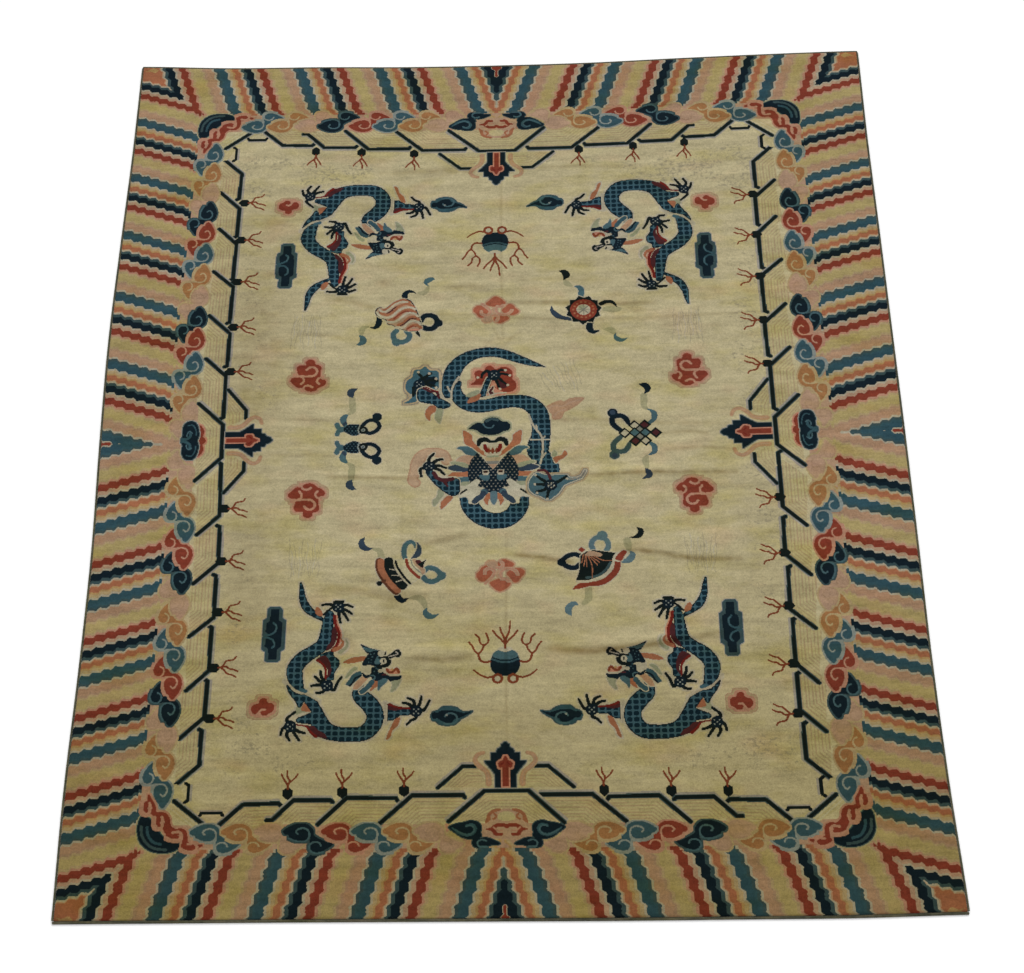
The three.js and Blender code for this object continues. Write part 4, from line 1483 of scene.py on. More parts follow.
# each spot and worn place: middle x and y, reach across and along, strength
SPOTS = [
    (-365, 600, 26, 24, 0.40), (-340, 525, 30, 16, 0.28), (-450, 910, 55, 45, 0.30),
    (-350, -5, 30, 22, 0.25), (-250, -280, 40, 30, 0.18), (220, 75, 40, 25, 0.15),
    (60, -560, 60, 30, 0.10), (-120, 640, 50, 30, 0.10), (-330, -560, 70, 18, 0.22),
    (120, 560, 90, 30, 0.10), (-470, -300, 60, 30, 0.15), (640, 110, 60, 25, 0.15),
    (-770, 330, 130, 420, 0.42), (-760, -480, 120, 340, 0.30), (-740, 860, 130, 110, 0.16),
    (750, -330, 110, 440, 0.14), (0, -960, 460, 70, 0.16), (-480, -900, 120, 90, 0.14),
    (-1130, 0, 60, 1500, 0.10),
]
stain_and_shade = sum(strength * blot(x, y, half_x, half_y) for x, y, half_x, half_y, strength in SPOTS)
# each crease, dirt with painted shade, and each crest: strength, half breadth, points
CREASE_DIRT_AND_SHADE = [
    (0.60, 7, (30, 518), (230, 512), (330, 505), (482, 500)),
    (0.34, 4, (-286, 476), (-30, 470), (72, 455), (311, 443), (824, 450)),
    (0.35, 10, (-167, 580), (-100, 583), (-47, 580)), (0.22, 8, (4, 604), (180, 606), (345, 598)),
    (0.40, 10, (-542, 540), (-470, 528), (-406, 507)),
    (0.25, 6, (-820, 395), (-600, 400), (-406, 378)),
    (0.36, 5, (106, 71), (345, 68), (431, 54), (687, 40)),
    (0.40, 5, (482, 11), (560, 16), (619, 8)), (0.40, 5, (482, -48), (600, -42), (687, -52)),
    (0.55, 5, (-525, -128), (-400, -130), (-252, -133)),
    (0.65, 6, (243, -133), (400, -126), (516, -128), (700, -134)),
    (0.28, 5, (-850, -40), (-680, -46), (-508, -50)), (0.28, 5, (-850, 80), (-700, 84), (-500, 78)),
    (0.40, 7, (-269, -372), (-190, -350), (-115, -330)),
    (0.75, 6, (15, -402), (106, -412), (192, -432)),
    (0.75, 7, (328, -388), (430, -400), (550, -426), (690, -432)),
    (0.35, 9, (-525, -505), (-400, -518), (-269, -530)),
    (0.50, 9, (-389, -532), (-300, -545), (-235, -538)),
    (0.50, 8, (-269, -738), (-180, -744), (-98, -735)),
    (0.80, 9, (106, -712), (243, -722), (345, -716), (431, -702), (619, -674)),
    (0.40, 10, (-500, -650), (-470, -672), (-440, -690)),
    (0.40, 9, (-389, 1052), (-200, 1060), (-30, 1050)),
    (0.28, 7, (40, 1062), (250, 1068), (480, 1055)), (0.30, 3, (5, 1100), (4, 760), (9, 350)),
    (0.34, 3, (7, -330), (3, -700), (6, -1110)),
    (0.20, 3, (-300, -180), (-303, -420), (-300, -560)),
    (0.25, 4, (10, 345), (-20, 362), (-60, 370)), (0.25, 4, (12, 345), (30, 375), (60, 400)),
    (0.25, 3, (8, 345), (-4, 380), (-20, 420)),
]
CREASE_STRENGTH, CREASE_BREADTH = 1.3, 1.45
for strength, half, *points in CREASE_DIRT_AND_SHADE:
    crease(stain_and_shade, CREASE_STRENGTH * strength, CREASE_BREADTH * half, *points)
# the crest mask is painted highlight: a pale band on the lit side of each ripple, beside its crease
crest_highlight = np.zeros(chart.shape)
CREST_HIGHLIGHTS = [
    (0.9, 16, (-449, -690), (-300, -702), (-98, -706)),
    (0.6, 13, (100, -690), (300, -690), (560, -655)),
    (0.5, 14, (-400, -495), (-250, -508), (-100, -500)),
    (0.5, 12, (20, -425), (200, -455), (330, -415)),
    (0.6, 7, (-286, 490), (-30, 486), (311, 462), (824, 464)),
    (0.5, 10, (-525, -112), (-400, -113), (-252, -116)),
    (0.5, 10, (243, -115), (400, -108), (516, -112)),
    (0.5, 12, (-508, -235), (-400, -233), (-269, -238)),
    (0.5, 11, (30, 498), (230, 492), (330, 486)), (0.4, 14, (-700, 620), (-560, 612), (-420, 625)),
    (0.4, 5, (14, 1060), (12, 900), (14, 620)), (0.4, 5, (15, -480), (12, -700), (15, -1060)),
]
for strength, half, *points in CREST_HIGHLIGHTS:
    crease(crest_highlight, strength, half, *points)
WORN = [
    (-700, 1040, 260, 90, 1.0), (690, 1040, 260, 90, 1.0), (0, 1095, 700, 55, 0.9),
    (-790, 500, 90, 640, 0.9), (770, 500, 90, 640, 0.9), (-780, -640, 90, 420, 0.8),
    (770, -500, 90, 560, 0.8), (0, -1090, 720, 70, 0.8), (600, 420, 90, 70, 0.4),
    (-560, 1060, 160, 60, 0.5), (520, 1000, 160, 60, 0.6), (560, -380, 90, 60, 0.4),
    (-640, -1000, 220, 110, 0.8), (640, -1000, 220, 110, 0.7), (-680, 160, 60, 120, 0.5),
]
worn = sum(strength * blot(x, y, half_x, half_y) for x, y, half_x, half_y, strength in WORN)
in_field = np.isin(chart, [CODE[name] for name in ("ivory", "wheat", "cream", "pale", "hair")])
WEAR_ON_DARK_WOOL = 0.35
worn = np.clip(worn, 0, 1) * np.where(in_field, 1.0, WEAR_ON_DARK_WOOL)
print(f"spots on {np.mean(stain_and_shade > 0.1):.0%} and wear on {np.mean(worn > 0.3):.0%} of the carpet")

# %% [markdown]
# The weaver clips the pile in a shallow groove along the edge of each motif, so the dragons stand
# out when light comes from the side. The shears are never quite even either. Both go into the
# height of the pile, together with the worn places, where the pile is shorter.

# %% The height of the pile, knot by knot
rng = np.random.default_rng(7)
FOUNDATION_TOP, PILE_TOP = 2.5, 8.0
SHEARS_STRAY, GROOVE_DEPTH, WORN_DEPTH = 0.12, 0.7, 0.9


def soften(values, times):
    for _ in range(times):
        values = (values + np.roll(values, 1, 0) + np.roll(values, -1, 0)) / 3
        values = (values + np.roll(values, 1, 1) + np.roll(values, -1, 1)) / 3
    return values


outline = np.zeros(chart.shape, bool)
outline[:, 1:] |= chart[:, 1:] != chart[:, :-1]
outline[1:] |= chart[1:] != chart[:-1]
shears = soften(rng.standard_normal(chart.shape), 2)
shears = shears + 3 * soften(rng.standard_normal(chart.shape), 12)
shears = SHEARS_STRAY * shears / shears.std()
pile = PILE_TOP + shears - GROOVE_DEPTH * soften(outline.astype(float), 1) - WORN_DEPTH * worn
print(f"pile height {pile.min():.1f} to {pile.max():.1f} mm")


# %% [markdown]
# ## The pile
# A mesh face for each knot would be three million triangles. Instead each face carries two knots by
# two: four colour attributes, one for each quarter of the face, and the material picks the right
# one. The pile is cut into five strips, because a library part keeps each piece under 200,000
# triangles, and the strips share their edge points, so no seam shows.

# %% A mesh from arrays of points and four-sided faces
def piece(name, points, faces):
    mesh = bpy.data.meshes.new(name)
    mesh.vertices.add(len(points))
    mesh.vertices.foreach_set("co", np.asarray(points, np.float32).ravel())
    mesh.loops.add(faces.size)
    mesh.loops.foreach_set("vertex_index", faces.astype(np.int32).ravel())
    mesh.polygons.add(len(faces))
    mesh.polygons.foreach_set("loop_start",
                              np.arange(0, faces.size, faces.shape[1], dtype=np.int32))
    mesh.update(calc_edges=True)
    mesh.validate()
    mesh.shade_smooth()
    made = bpy.data.objects.new(name, mesh)
    scene.collection.objects.link(made)
    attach(made, "root")
    return made


def grid_faces(columns, rows):
    corner = np.arange(columns * rows).reshape(rows, columns)
    near, far = corner[:-1], corner[1:]
    return np.stack([near[:, :-1], near[:, 1:], far[:, 1:], far[:, :-1]], -1).reshape(-1, 4)


def attribute(made, name, kind, domain, values):
    layer = made.data.attributes.new(name, kind, domain)
    key = {"FLOAT": "value", "FLOAT_VECTOR": "vector", "FLOAT_COLOR": "color"}[kind]
    layer.data.foreach_set(key, np.asarray(values, np.float32).ravel())


# Each face carries two knots by two, in four colour attributes
def yarns(made, colours, pick=..., rest=np.empty((0, 3))):
    for corner, (up, right) in enumerate([(0, 0), (0, 1), (1, 0), (1, 1)], start=1):
        quarter = np.concatenate([colours[up::2, right::2][pick].reshape(-1, 3), rest])
        quarter = np.insert(quarter, 3, 1, axis=1)
        attribute(made, f"yarn_{corner}", "FLOAT_COLOR", "FACE", quarter)


def unwrap(made, u, v):
    corners = np.empty(len(made.data.loops), np.int32)
    made.data.loops.foreach_get("vertex_index", corners)
    layer = made.data.uv_layers.new(name="OFBake")
    layer.data.foreach_set("uv", np.stack([u[corners], v[corners]], -1).astype(np.float32).ravel())


print("a grid of 3 by 3 points has", len(grid_faces(3, 3)), "faces")

# %% The yarns' colours, as light
srgb = np.zeros((len(YARNS) + 1, 3))
for name, code in CODE.items():
    srgb[code] = np.array(YARNS[name]) / 255
linear = np.where(srgb <= 0.04045, srgb / 12.92, ((srgb + 0.055) / 1.055) ** 2.4)
dyed = linear[chart].astype(np.float32)
print("mean reflectance of the wool", dyed.mean(axis=(0, 1)).round(3))

# %% Five strips of pile
FACE = 2 * KNOT
FACES_ACROSS, FACES_ALONG = KNOTS_ACROSS // 2, KNOTS_ALONG // 2
HALF_WIDTH, HALF_LENGTH = WIDTH / 2 - 7.3, LENGTH / 2 - 8.3
STRIP_ROWS = [2, 141, 280, 419, 558, 698]
EDGE_ROUND, EDGE_DROP, SKIRT = 5.0, 2.2, 0.1


def corner_mean(values, rows, columns):
    wide = np.pad(values, 1, mode="edge")
    four = (wide[1:, 1:] + wide[:-1, 1:] + wide[1:, :-1] + wide[:-1, :-1]) / 4
    return four[np.ix_(2 * rows, 2 * columns)]


def pile_strip(number, first, last):
    columns = np.concatenate([[1], np.arange(1, FACES_ACROSS), [FACES_ACROSS - 1]])
    rows = np.arange(first, last + 1)
    at_near, at_far = first == STRIP_ROWS[0], last == STRIP_ROWS[-1]
    rows = np.concatenate([[first] * at_near, rows, [last] * at_far]).astype(int)
    x = np.clip(columns * FACE - WIDTH / 2, -HALF_WIDTH, HALF_WIDTH)
    y = rows * FACE - LENGTH / 2
    y[rows == STRIP_ROWS[0]], y[rows == STRIP_ROWS[-1]] = -HALF_LENGTH, HALF_LENGTH
    grid_x, grid_y = np.meshgrid(x, y)
    inward = np.minimum(HALF_WIDTH - np.abs(grid_x), HALF_LENGTH - np.abs(grid_y))
    z = corner_mean(pile, rows, columns) - EDGE_DROP * np.exp(-inward / EDGE_ROUND)
    z[:, [0, -1]] = FOUNDATION_TOP + SKIRT
    z[[0] * at_near + [-1] * at_far] = FOUNDATION_TOP + SKIRT
    made = piece(f"pile_{number}", lay(grid_x, grid_y, z), grid_faces(len(columns), len(rows)))
    across = np.minimum(columns[:-1], FACES_ACROSS - 1)
    yarns(made, dyed, np.ix_(np.minimum(rows[:-1], FACES_ALONG - 1), across))
    flat = np.stack([grid_x, grid_y, 0 * grid_x], -1)
    attribute(made, "design", "FLOAT_VECTOR", "POINT", flat)
    # the stain mask also carries painted crease shade, and the crest mask carries painted highlight
    for title, mask in (("worn", worn), ("stain_and_shade", stain_and_shade), ("crest_highlight", crest_highlight)):
        attribute(made, title, "FLOAT", "POINT", corner_mean(mask, rows, columns))
    share_x = (np.arange(len(columns)) + 0.5) / len(columns)
    share_y = (np.arange(len(rows)) + 0.5) / len(rows)
    unwrap(made, np.tile(share_x, len(rows)), np.repeat(share_y, len(columns)))
    return made


strips = [pile_strip(n + 1, a, b) for n, (a, b) in enumerate(zip(STRIP_ROWS, STRIP_ROWS[1:]))]
print([2 * len(strip.data.polygons) for strip in strips], "triangles in the strips")

# %% [markdown]
# ## The foundation
# Under the pile is a cotton weave. On the back of a hand-knotted carpet each knot shows as a small
# bump in its own colour, so the pattern can be read there as well, a little softer. The foundation
# is one closed sheet: a fine grid below, with the pattern's colours averaged over a few knots, and
# a coarse one above that the pile hides.

# %% The foundation, closed all round
BACK_COLUMNS, BACK_ROWS, COARSE = 200, 250, 5


def sheet_grid(columns, rows, z):
    grid_x, grid_y = np.meshgrid(np.linspace(-HALF_WIDTH, HALF_WIDTH, columns + 1),
                                 np.linspace(-HALF_LENGTH, HALF_LENGTH, rows + 1))
    return grid_x, grid_y, np.full(grid_x.shape, z)


low_x, low_y, low_z = sheet_grid(BACK_COLUMNS, BACK_ROWS, 0.0)
high_x, high_y, high_z = sheet_grid(BACK_COLUMNS // COARSE, BACK_ROWS // COARSE, FOUNDATION_TOP)
low = grid_faces(BACK_COLUMNS + 1, BACK_ROWS + 1)[:, ::-1]
high = grid_faces(BACK_COLUMNS // COARSE + 1, BACK_ROWS // COARSE + 1) + low_x.size


def around(columns, rows):
    corner = np.arange((columns + 1) * (rows + 1)).reshape(rows + 1, columns + 1)
    return np.concatenate([corner[0, :-1], corner[:-1, -1], corner[-1, :0:-1], corner[:0:-1, 0]])


low_ring = around(BACK_COLUMNS, BACK_ROWS)
high_ring = around(BACK_COLUMNS // COARSE, BACK_ROWS // COARSE) + low_x.size
mesh_faces = [tuple(f) for f in low] + [tuple(f) for f in high]
for n, top in enumerate(high_ring):
    run = [low_ring[(n * COARSE + k) % len(low_ring)] for k in range(COARSE + 1)]
    mesh_faces.append((*run, high_ring[(n + 1) % len(high_ring)], top))
points = np.concatenate([lay(low_x, low_y, low_z), lay(high_x, high_y, high_z)])
foundation = bpy.data.objects.new("foundation", bpy.data.meshes.new("foundation"))
foundation.data.from_pydata(points.tolist(), [], mesh_faces)
foundation.data.shade_smooth()
scene.collection.objects.link(foundation)
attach(foundation, "root")
print(len(mesh_faces), "faces in the foundation")

# %% The pattern on the back
cell_x = (np.arange(2 * BACK_COLUMNS) + 0.5) / (2 * BACK_COLUMNS) * 2 * HALF_WIDTH - HALF_WIDTH
cell_y = (np.arange(2 * BACK_ROWS) + 0.5) / (2 * BACK_ROWS) * 2 * HALF_LENGTH - HALF_LENGTH
near_column = ((cell_x + WIDTH / 2) / KNOT).astype(int)
near_row = ((cell_y + LENGTH / 2) / KNOT).astype(int)
nine = [dyed[np.ix_(near_row + j, near_column + i)] for j in (-1, 0, 1) for i in (-1, 0, 1)]
blurred = sum(nine) / 9
yarns(foundation, blurred, rest=np.tile(linear[CODE["pale"]], (len(mesh_faces) - len(low), 1)))
both = (low_x, high_x), (low_y, high_y)
flat_x, flat_y = (np.concatenate([below.ravel(), above.ravel()]) for below, above in both)
attribute(foundation, "design", "FLOAT_VECTOR", "POINT", np.stack([flat_x, flat_y, 0 * flat_x], -1))
shares = flat_x / (2 * HALF_WIDTH) + 0.5, flat_y / (2 * HALF_LENGTH) + 0.5
hidden = np.arange(len(flat_x)) >= low_x.size  # the top gets only a small corner of the bake map
unwrap(foundation, *(np.where(hidden, 0.93 + 0.06 * v, 0.01 + 0.9 * v) for v in shares))
print(len(cell_x) * len(cell_y), "squares of pattern on the back")

# %% [markdown]
# ## The edges
# The sides are overcast: a thick olive yarn is wound round and round the last warps, so the edge is
# a firm cord that can take the wear. The ends are a narrow braid over the cut warps. Both are real
# shapes here, one turn of yarn after another, because a bump map has no outline.

# %% Wound and braided edges
TURN_PITCH = 5.0
CORD_RADIUS, CORD_HEIGHT, CORD_INSET, CORD_SQUASH = 3.4, 3.42, 3.5, 0.97
CORD_WAIST, BRAID_WAIST = 0.80, 0.84  # how far the yarn is drawn in between two turns
CORD_SLANT, BRAID_INSET, BRAID_END, EASE = 1.3, 4, 2.0, 10


# section gives, for each ring of points, its place across, its height and a small slant
def tube(name, node, along, section, sideways):
    stations, sides = section.shape[:2]
    section[0], section[-1] = section[0].mean(axis=0), section[-1].mean(axis=0)
    across, height = section[..., 0], section[..., 1]
    lengthwise = along[:, None] + section[..., 2]
    x, y = (lengthwise, across) if sideways else (across, lengthwise)
    ring = np.arange(sides)
    base = np.arange(stations - 1)[:, None] * sides
    after = (ring + 1) % sides
    faces = np.stack([base + ring, base + after, base + sides + after, base + sides + ring], -1)
    made = piece(name, lay(x, y, height), faces.reshape(-1, 4))
    turn = np.tile(ring / sides, (stations, 1))
    attribute(made, "design", "FLOAT_VECTOR", "POINT",
              np.stack([lengthwise, 30 * turn, 0 * turn], -1))
    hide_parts(node)
    return made


def side_cord(name, node, side):
    stations = 2 * round(2 * HALF_LENGTH / TURN_PITCH) + 1
    along = np.linspace(-HALF_LENGTH, HALF_LENGTH, stations)
    angle = side * np.arange(8) / 8 * 2 * math.pi
    swell = np.where(np.arange(stations) % 2, 1.0, CORD_WAIST)[:, None]
    radius = CORD_RADIUS * np.clip(swell + 0.04 * rng.standard_normal((stations, 1)), 0.7, 1.03)
    across = side * (WIDTH / 2 - CORD_INSET) + radius * np.cos(angle)
    height = CORD_HEIGHT + radius * np.sin(angle) * CORD_SQUASH
    ease = np.clip((HALF_LENGTH - np.abs(along)) / EASE, 0, 1)[:, None]
    slant = CORD_SLANT * np.sin(angle) * ease
    return tube(name, node, along, np.stack([across, height, slant], -1),
                sideways=False)


BRAID_SECTION = np.array([(3.9, 3.0), (2.2, 4.8), (0.0, 3.9), (-2.2, 4.8), (-3.9, 3.0), (-3.8, 0.5),
                          (0.0, 0.05), (3.8, 0.5)])


def end_braid(name, node, end):
    stations = 2 * round(WIDTH / TURN_PITCH) + 1
    along = np.linspace(BRAID_END - WIDTH / 2, WIDTH / 2 - BRAID_END, stations)
    outline = BRAID_SECTION if end < 0 else BRAID_SECTION[::-1]
    swell = np.where(np.arange(stations) % 2, 1.0, BRAID_WAIST)[:, None]
    across = end * (LENGTH / 2 - BRAID_INSET) + outline[:, 0] * (0.5 + 0.5 * swell)
    height = outline[:, 1] * swell
    slant = np.where(outline[:, 1] > 2, 2.0 - np.abs(outline[:, 0]), 0)
    slant = slant * np.clip((WIDTH / 2 - BRAID_INSET - np.abs(along)) / EASE, 0, 1)[:, None]
    return tube(name, node, along, np.stack([across, height, slant], -1),
                sideways=True)


edges = [side_cord("overcast_left", "side_cord_left", -1),
         side_cord("overcast_right", "side_cord_right", 1),
         end_braid("braid_near", "end_braid_near", -1), end_braid("braid_far", "end_braid_far", 1)]
print([2 * len(border.data.polygons) for border in edges], "triangles in the edges")


# %% [markdown]
# ## Materials
# Four finishes share three effects, so each effect is a node group: which knot a point lies in,
# how the dye varies, and what age has done, with painted light and shade. The groups only give
# out colours, masks and heights.
# The shader itself stays in each material.

# %% A short way to place and join nodes
def node(tree, kind, inputs=None, **settings):
    made = tree.nodes.new("ShaderNode" + kind)
    for key, value in settings.items():
        setattr(made, key, value)
    for socket, value in (inputs or {}).items():
        if isinstance(value, bpy.types.NodeSocket):
            tree.links.new(value, made.inputs[socket])
        else:
            made.inputs[socket].default_value = value
    return made


def maths(tree, operation, a, b=0.0, clamp=False):
    return node(tree, "Math", {0: a, 1: b}, operation=operation, use_clamp=clamp).outputs[0]


def mix(tree, factor, a, b, blend="MIX"):
    made = node(tree, "Mix", {0: factor, 6: a, 7: b}, data_type="RGBA", blend_type=blend)
    return made.outputs[2]


def span(tree, value, low, high, start=0.0, end=1.0):
    return node(tree, "MapRange", {0: value, 1: low, 2: high, 3: start, 4: end}).outputs[0]


def noise(tree, position, scale, detail=2.0, roughness=0.5):
    inputs = {"Vector": position, "Scale": scale, "Detail": detail, "Roughness": roughness}
    return node(tree, "TexNoise", inputs).outputs[0]


def stretch(tree, position, x, y, z=1.0):
    return node(tree, "VectorMath", {0: position, 1: (x, y, z)}, operation="MULTIPLY").outputs[0]


def group(name, inputs, outputs):
    made = bpy.data.node_groups.new(name, "ShaderNodeTree")
    kinds = {"colour": "NodeSocketColor", "value": "NodeSocketFloat", "place": "NodeSocketVector"}
    for title, kind in inputs.items():
        made.interface.new_socket(title, in_out="INPUT", socket_type=kinds[kind])
    for title, kind in outputs.items():
        made.interface.new_socket(title, in_out="OUTPUT", socket_type=kinds[kind])
    return made, made.nodes.new("NodeGroupInput").outputs, made.nodes.new("NodeGroupOutput").inputs


def placed(tree, shared, inputs):
    return node(tree, "Group", inputs, node_tree=shared).outputs


print("node helpers ready")

# %% [markdown]
# The first group reads the place on the true rectangle, in millimetres, and works out the knot.
# Half of each face belongs to each knot. A little noise frays the line between them, as cut wool
# does, and each knot gets a random shade and a domed top.

# %% Group: knots
FACE_QUARTERS = "Lower Left", "Lower Right", "Upper Left", "Upper Right"
knots, given, give = group(
    "Knots",
    {"Place": "place", "Knot Width": "value", "Knot Length": "value", "Left Edge": "value",
     "Near Edge": "value", **dict.fromkeys(FACE_QUARTERS, "colour")},
    {"Color": "colour", "Shade": "value", "Dome": "value"},
)
place = node(knots, "SeparateXYZ", {0: given["Place"]}).outputs
count_x = maths(knots, "DIVIDE", maths(knots, "SUBTRACT", place[0], given["Left Edge"]),
                given["Knot Width"])
count_y = maths(knots, "DIVIDE", maths(knots, "SUBTRACT", place[1], given["Near Edge"]),
                given["Knot Length"])
fray = maths(knots, "SUBTRACT", noise(knots, given["Place"], 0.9), 0.5)
fray = maths(knots, "MULTIPLY", fray, 0.35)
half_x = maths(knots, "ADD", maths(knots, "FRACT", maths(knots, "MULTIPLY", count_x, 0.5)), fray)
half_y = maths(knots, "SUBTRACT", maths(knots, "FRACT", maths(knots, "MULTIPLY", count_y, 0.5)),
               fray)
is_right = maths(knots, "GREATER_THAN", half_x, 0.5)
is_upper = maths(knots, "GREATER_THAN", half_y, 0.5)
lower = mix(knots, is_right, given["Lower Left"], given["Lower Right"])
upper = mix(knots, is_right, given["Upper Left"], given["Upper Right"])
knots.links.new(mix(knots, is_upper, lower, upper), give["Color"])
cell = node(knots, "CombineXYZ",
            {0: maths(knots, "FLOOR", count_x), 1: maths(knots, "FLOOR", count_y)}).outputs[0]
knots.links.new(node(knots, "TexWhiteNoise", {"Vector": cell}, noise_dimensions="2D").outputs[0],
                give["Shade"])
dome_x = maths(knots, "SINE", maths(knots, "MULTIPLY", maths(knots, "FRACT", count_x), math.pi))
dome_y = maths(knots, "SINE", maths(knots, "MULTIPLY", maths(knots, "FRACT", count_y), math.pi))
knots.links.new(maths(knots, "MULTIPLY", dome_x, dome_y), give["Dome"])
print("group", knots.name, "with", len(knots.nodes), "nodes")

# %% [markdown]
# Wool takes dye unevenly. Each skein differs a little, so the colour drifts in streaks along the
# rows of knots, and the ivory has greener and pinker patches a hand or two across. Each knot also
# catches the light in its own way, which is the random shade from the first group.

# %% Group: uneven dye
dye, given, give = group(
    "Uneven dye",
    {"Color": "colour", "Place": "place", "Shade": "value", "Strength": "value"},
    {"Color": "colour"},
)
streaks = noise(dye, stretch(dye, given["Place"], 0.0030, 0.026), 1.0, 4.0, 0.62)
skeins = noise(dye, stretch(dye, given["Place"], 0.010, 0.11), 1.0, 2.0)
patches = noise(dye, stretch(dye, given["Place"], 0.0042, 0.0085), 1.0, 3.0, 0.6)
blotches = noise(dye, stretch(dye, given["Place"], 0.020, 0.034), 1.0, 3.0, 0.6)
flecks = noise(dye, given["Place"], 0.12, 3.0, 0.7)
greener = span(dye, patches, 0.48, 0.68)
pinker = span(dye, noise(dye, stretch(dye, given["Place"], 0.0035, 0.006), 1.7, 2.0), 0.54, 0.70)
tinted = mix(dye, maths(dye, "MULTIPLY", greener, given["Strength"]), given["Color"],
             mix(dye, 1.0, given["Color"], (0.90, 0.89, 0.68, 1), "MULTIPLY"))
tinted = mix(dye, maths(dye, "MULTIPLY", pinker, given["Strength"]), tinted,
             mix(dye, 1.0, tinted, (1.02, 0.95, 0.95, 1), "MULTIPLY"))
light = maths(dye, "ADD", span(dye, streaks, 0.3, 0.7, -0.12, 0.12),
              span(dye, skeins, 0.3, 0.7, -0.06, 0.06))
light = maths(dye, "ADD", light, span(dye, blotches, 0.3, 0.7, -0.10, 0.10))
light = maths(dye, "ADD", light, span(dye, given["Shade"], 0.0, 1.0, -0.13, 0.13))
light = maths(dye, "ADD", light, span(dye, flecks, 0.3, 0.7, -0.12, 0.12))
light = maths(dye, "MULTIPLY_ADD", light, given["Strength"])
dye.nodes[-1].inputs[2].default_value = 1.0
whole = node(dye, "CombineColor", {0: light, 1: light, 2: light}).outputs[0]
dye.links.new(mix(dye, 1.0, tinted, whole, "MULTIPLY"), give["Color"])
print("group", dye.name, "with", len(dye.nodes), "nodes")

# %% [markdown]
# Age and painted light work on the dyed colour in four steps. Bare specks show the grey knots where
# the pile is worn, crests are lightened as painted highlight, spills and creases are soaked in
# ochre, along the creases partly as painted shade, and the near end is painted a shade yellower and
# darker than the rest, as painted shade where the light falls off.

# %% Group: age and painted light
age_and_light, given, give = group(
    "Age",
    {"Color": "colour", "Place": "place", "Worn": "value", "Stain And Shade": "value", "Crest Highlight": "value"},
    {"Color": "colour", "Dull": "value"},
)
specks = noise(age_and_light, stretch(age_and_light, given["Place"], 0.070, 0.090), 1.0, 5.0, 0.72)
broad = noise(age_and_light, given["Place"], 0.012, 2.0)
reach = maths(age_and_light, "MULTIPLY", given["Worn"], span(age_and_light, broad, 0.35, 0.6, 0.45, 1.0))
level = span(age_and_light, reach, 0.0, 1.0, 0.72, 0.50)
bare = span(age_and_light, maths(age_and_light, "SUBTRACT", specks, level), -0.02, 0.08)
bare = maths(age_and_light, "MULTIPLY", bare, maths(age_and_light, "MULTIPLY", maths(age_and_light, "MINIMUM", reach, 0.7), 0.85))
dusty = mix(age_and_light, bare, given["Color"], (0.190, 0.172, 0.125, 1))
# painted highlight: the crests are lightened by a fifth
worn_with_painted_light = mix(age_and_light, given["Crest Highlight"], dusty, mix(age_and_light, 1.0, dusty, (1.20, 1.20, 1.22, 1), "MULTIPLY"))
# ochre for the spills; along the creases it is partly dirt and partly painted shade of the ripples
ochre_stain_and_shade = mix(age_and_light, 1.0, worn_with_painted_light, (0.45, 0.38, 0.27, 1), "MULTIPLY")
soft = span(age_and_light, noise(age_and_light, given["Place"], 0.03, 3.0, 0.6), 0.3, 0.6, 0.45, 1.0)
stain_and_shade_amount = maths(age_and_light, "MULTIPLY", given["Stain And Shade"], soft, clamp=True)
stained_and_shaded = mix(age_and_light, stain_and_shade_amount, worn_with_painted_light, ochre_stain_and_shade)
# painted shade: darker and yellower towards the near end, where the light falls off
lengthwise = node(age_and_light, "SeparateXYZ", {0: given["Place"]}).outputs[1]
uneven_edge = span(age_and_light, noise(age_and_light, stretch(age_and_light, given["Place"], 0.0022, 0.004), 1.0, 2.0), 0.3, 0.7,
                   -160.0, 160.0)
near_end_shade = span(age_and_light, maths(age_and_light, "ADD", lengthwise, uneven_edge), -330.0, -1180.0)
shaded_near_end = mix(age_and_light, 1.0, stained_and_shaded, (0.74, 0.71, 0.58, 1), "MULTIPLY")
age_and_light.links.new(mix(age_and_light, near_end_shade, stained_and_shaded, shaded_near_end), give["Color"])
age_and_light.links.new(bare, give["Dull"])
print("group", age_and_light.name, "with", len(age_and_light.nodes), "nodes")


# %% A fabric material around one Principled shader
def fabric(name, roughness, sheen):
    material = bpy.data.materials.new(name)
    material.use_nodes = True
    tree = material.node_tree
    shader = tree.nodes["Principled BSDF"]
    shader.inputs["Roughness"].default_value = roughness
    shader.inputs["Sheen Weight"].default_value = sheen
    shader.inputs["Sheen Roughness"].default_value = 0.5
    shader.inputs["Specular IOR Level"].default_value = 0.02
    return material, tree, shader


def read(tree, name, output="Vector"):
    return node(tree, "Attribute", attribute_name=name).outputs[output]


def four_yarns(tree):
    numbered = enumerate(FACE_QUARTERS, start=1)
    return {title: read(tree, f"yarn_{n}", "Color") for n, title in numbered}


def bump(tree, shader, height, distance, strength=1.0):
    made = node(tree, "Bump", {"Height": height, "Distance": distance, "Strength": strength})
    tree.links.new(made.outputs[0], shader.inputs["Normal"])


print("fabric helper ready")

# %% [markdown]
# Wool pile is a matt brush of fibre ends: rough, with a faint sheen at low angles. Its bump is the
# dome of each knot with loose fibres over it.

# %% Wool pile
wool, tree, shader = fabric("wool pile", 0.92, 0.01)
place = read(tree, "design")
knotted = placed(tree, knots,
                 {"Place": place, "Knot Width": KNOT, "Knot Length": KNOT, "Left Edge": -WIDTH / 2,
                  "Near Edge": -LENGTH / 2, **four_yarns(tree)})
uneven = placed(tree, dye,
                {"Color": knotted["Color"], "Place": place, "Shade": knotted["Shade"],
                 "Strength": 1.0})
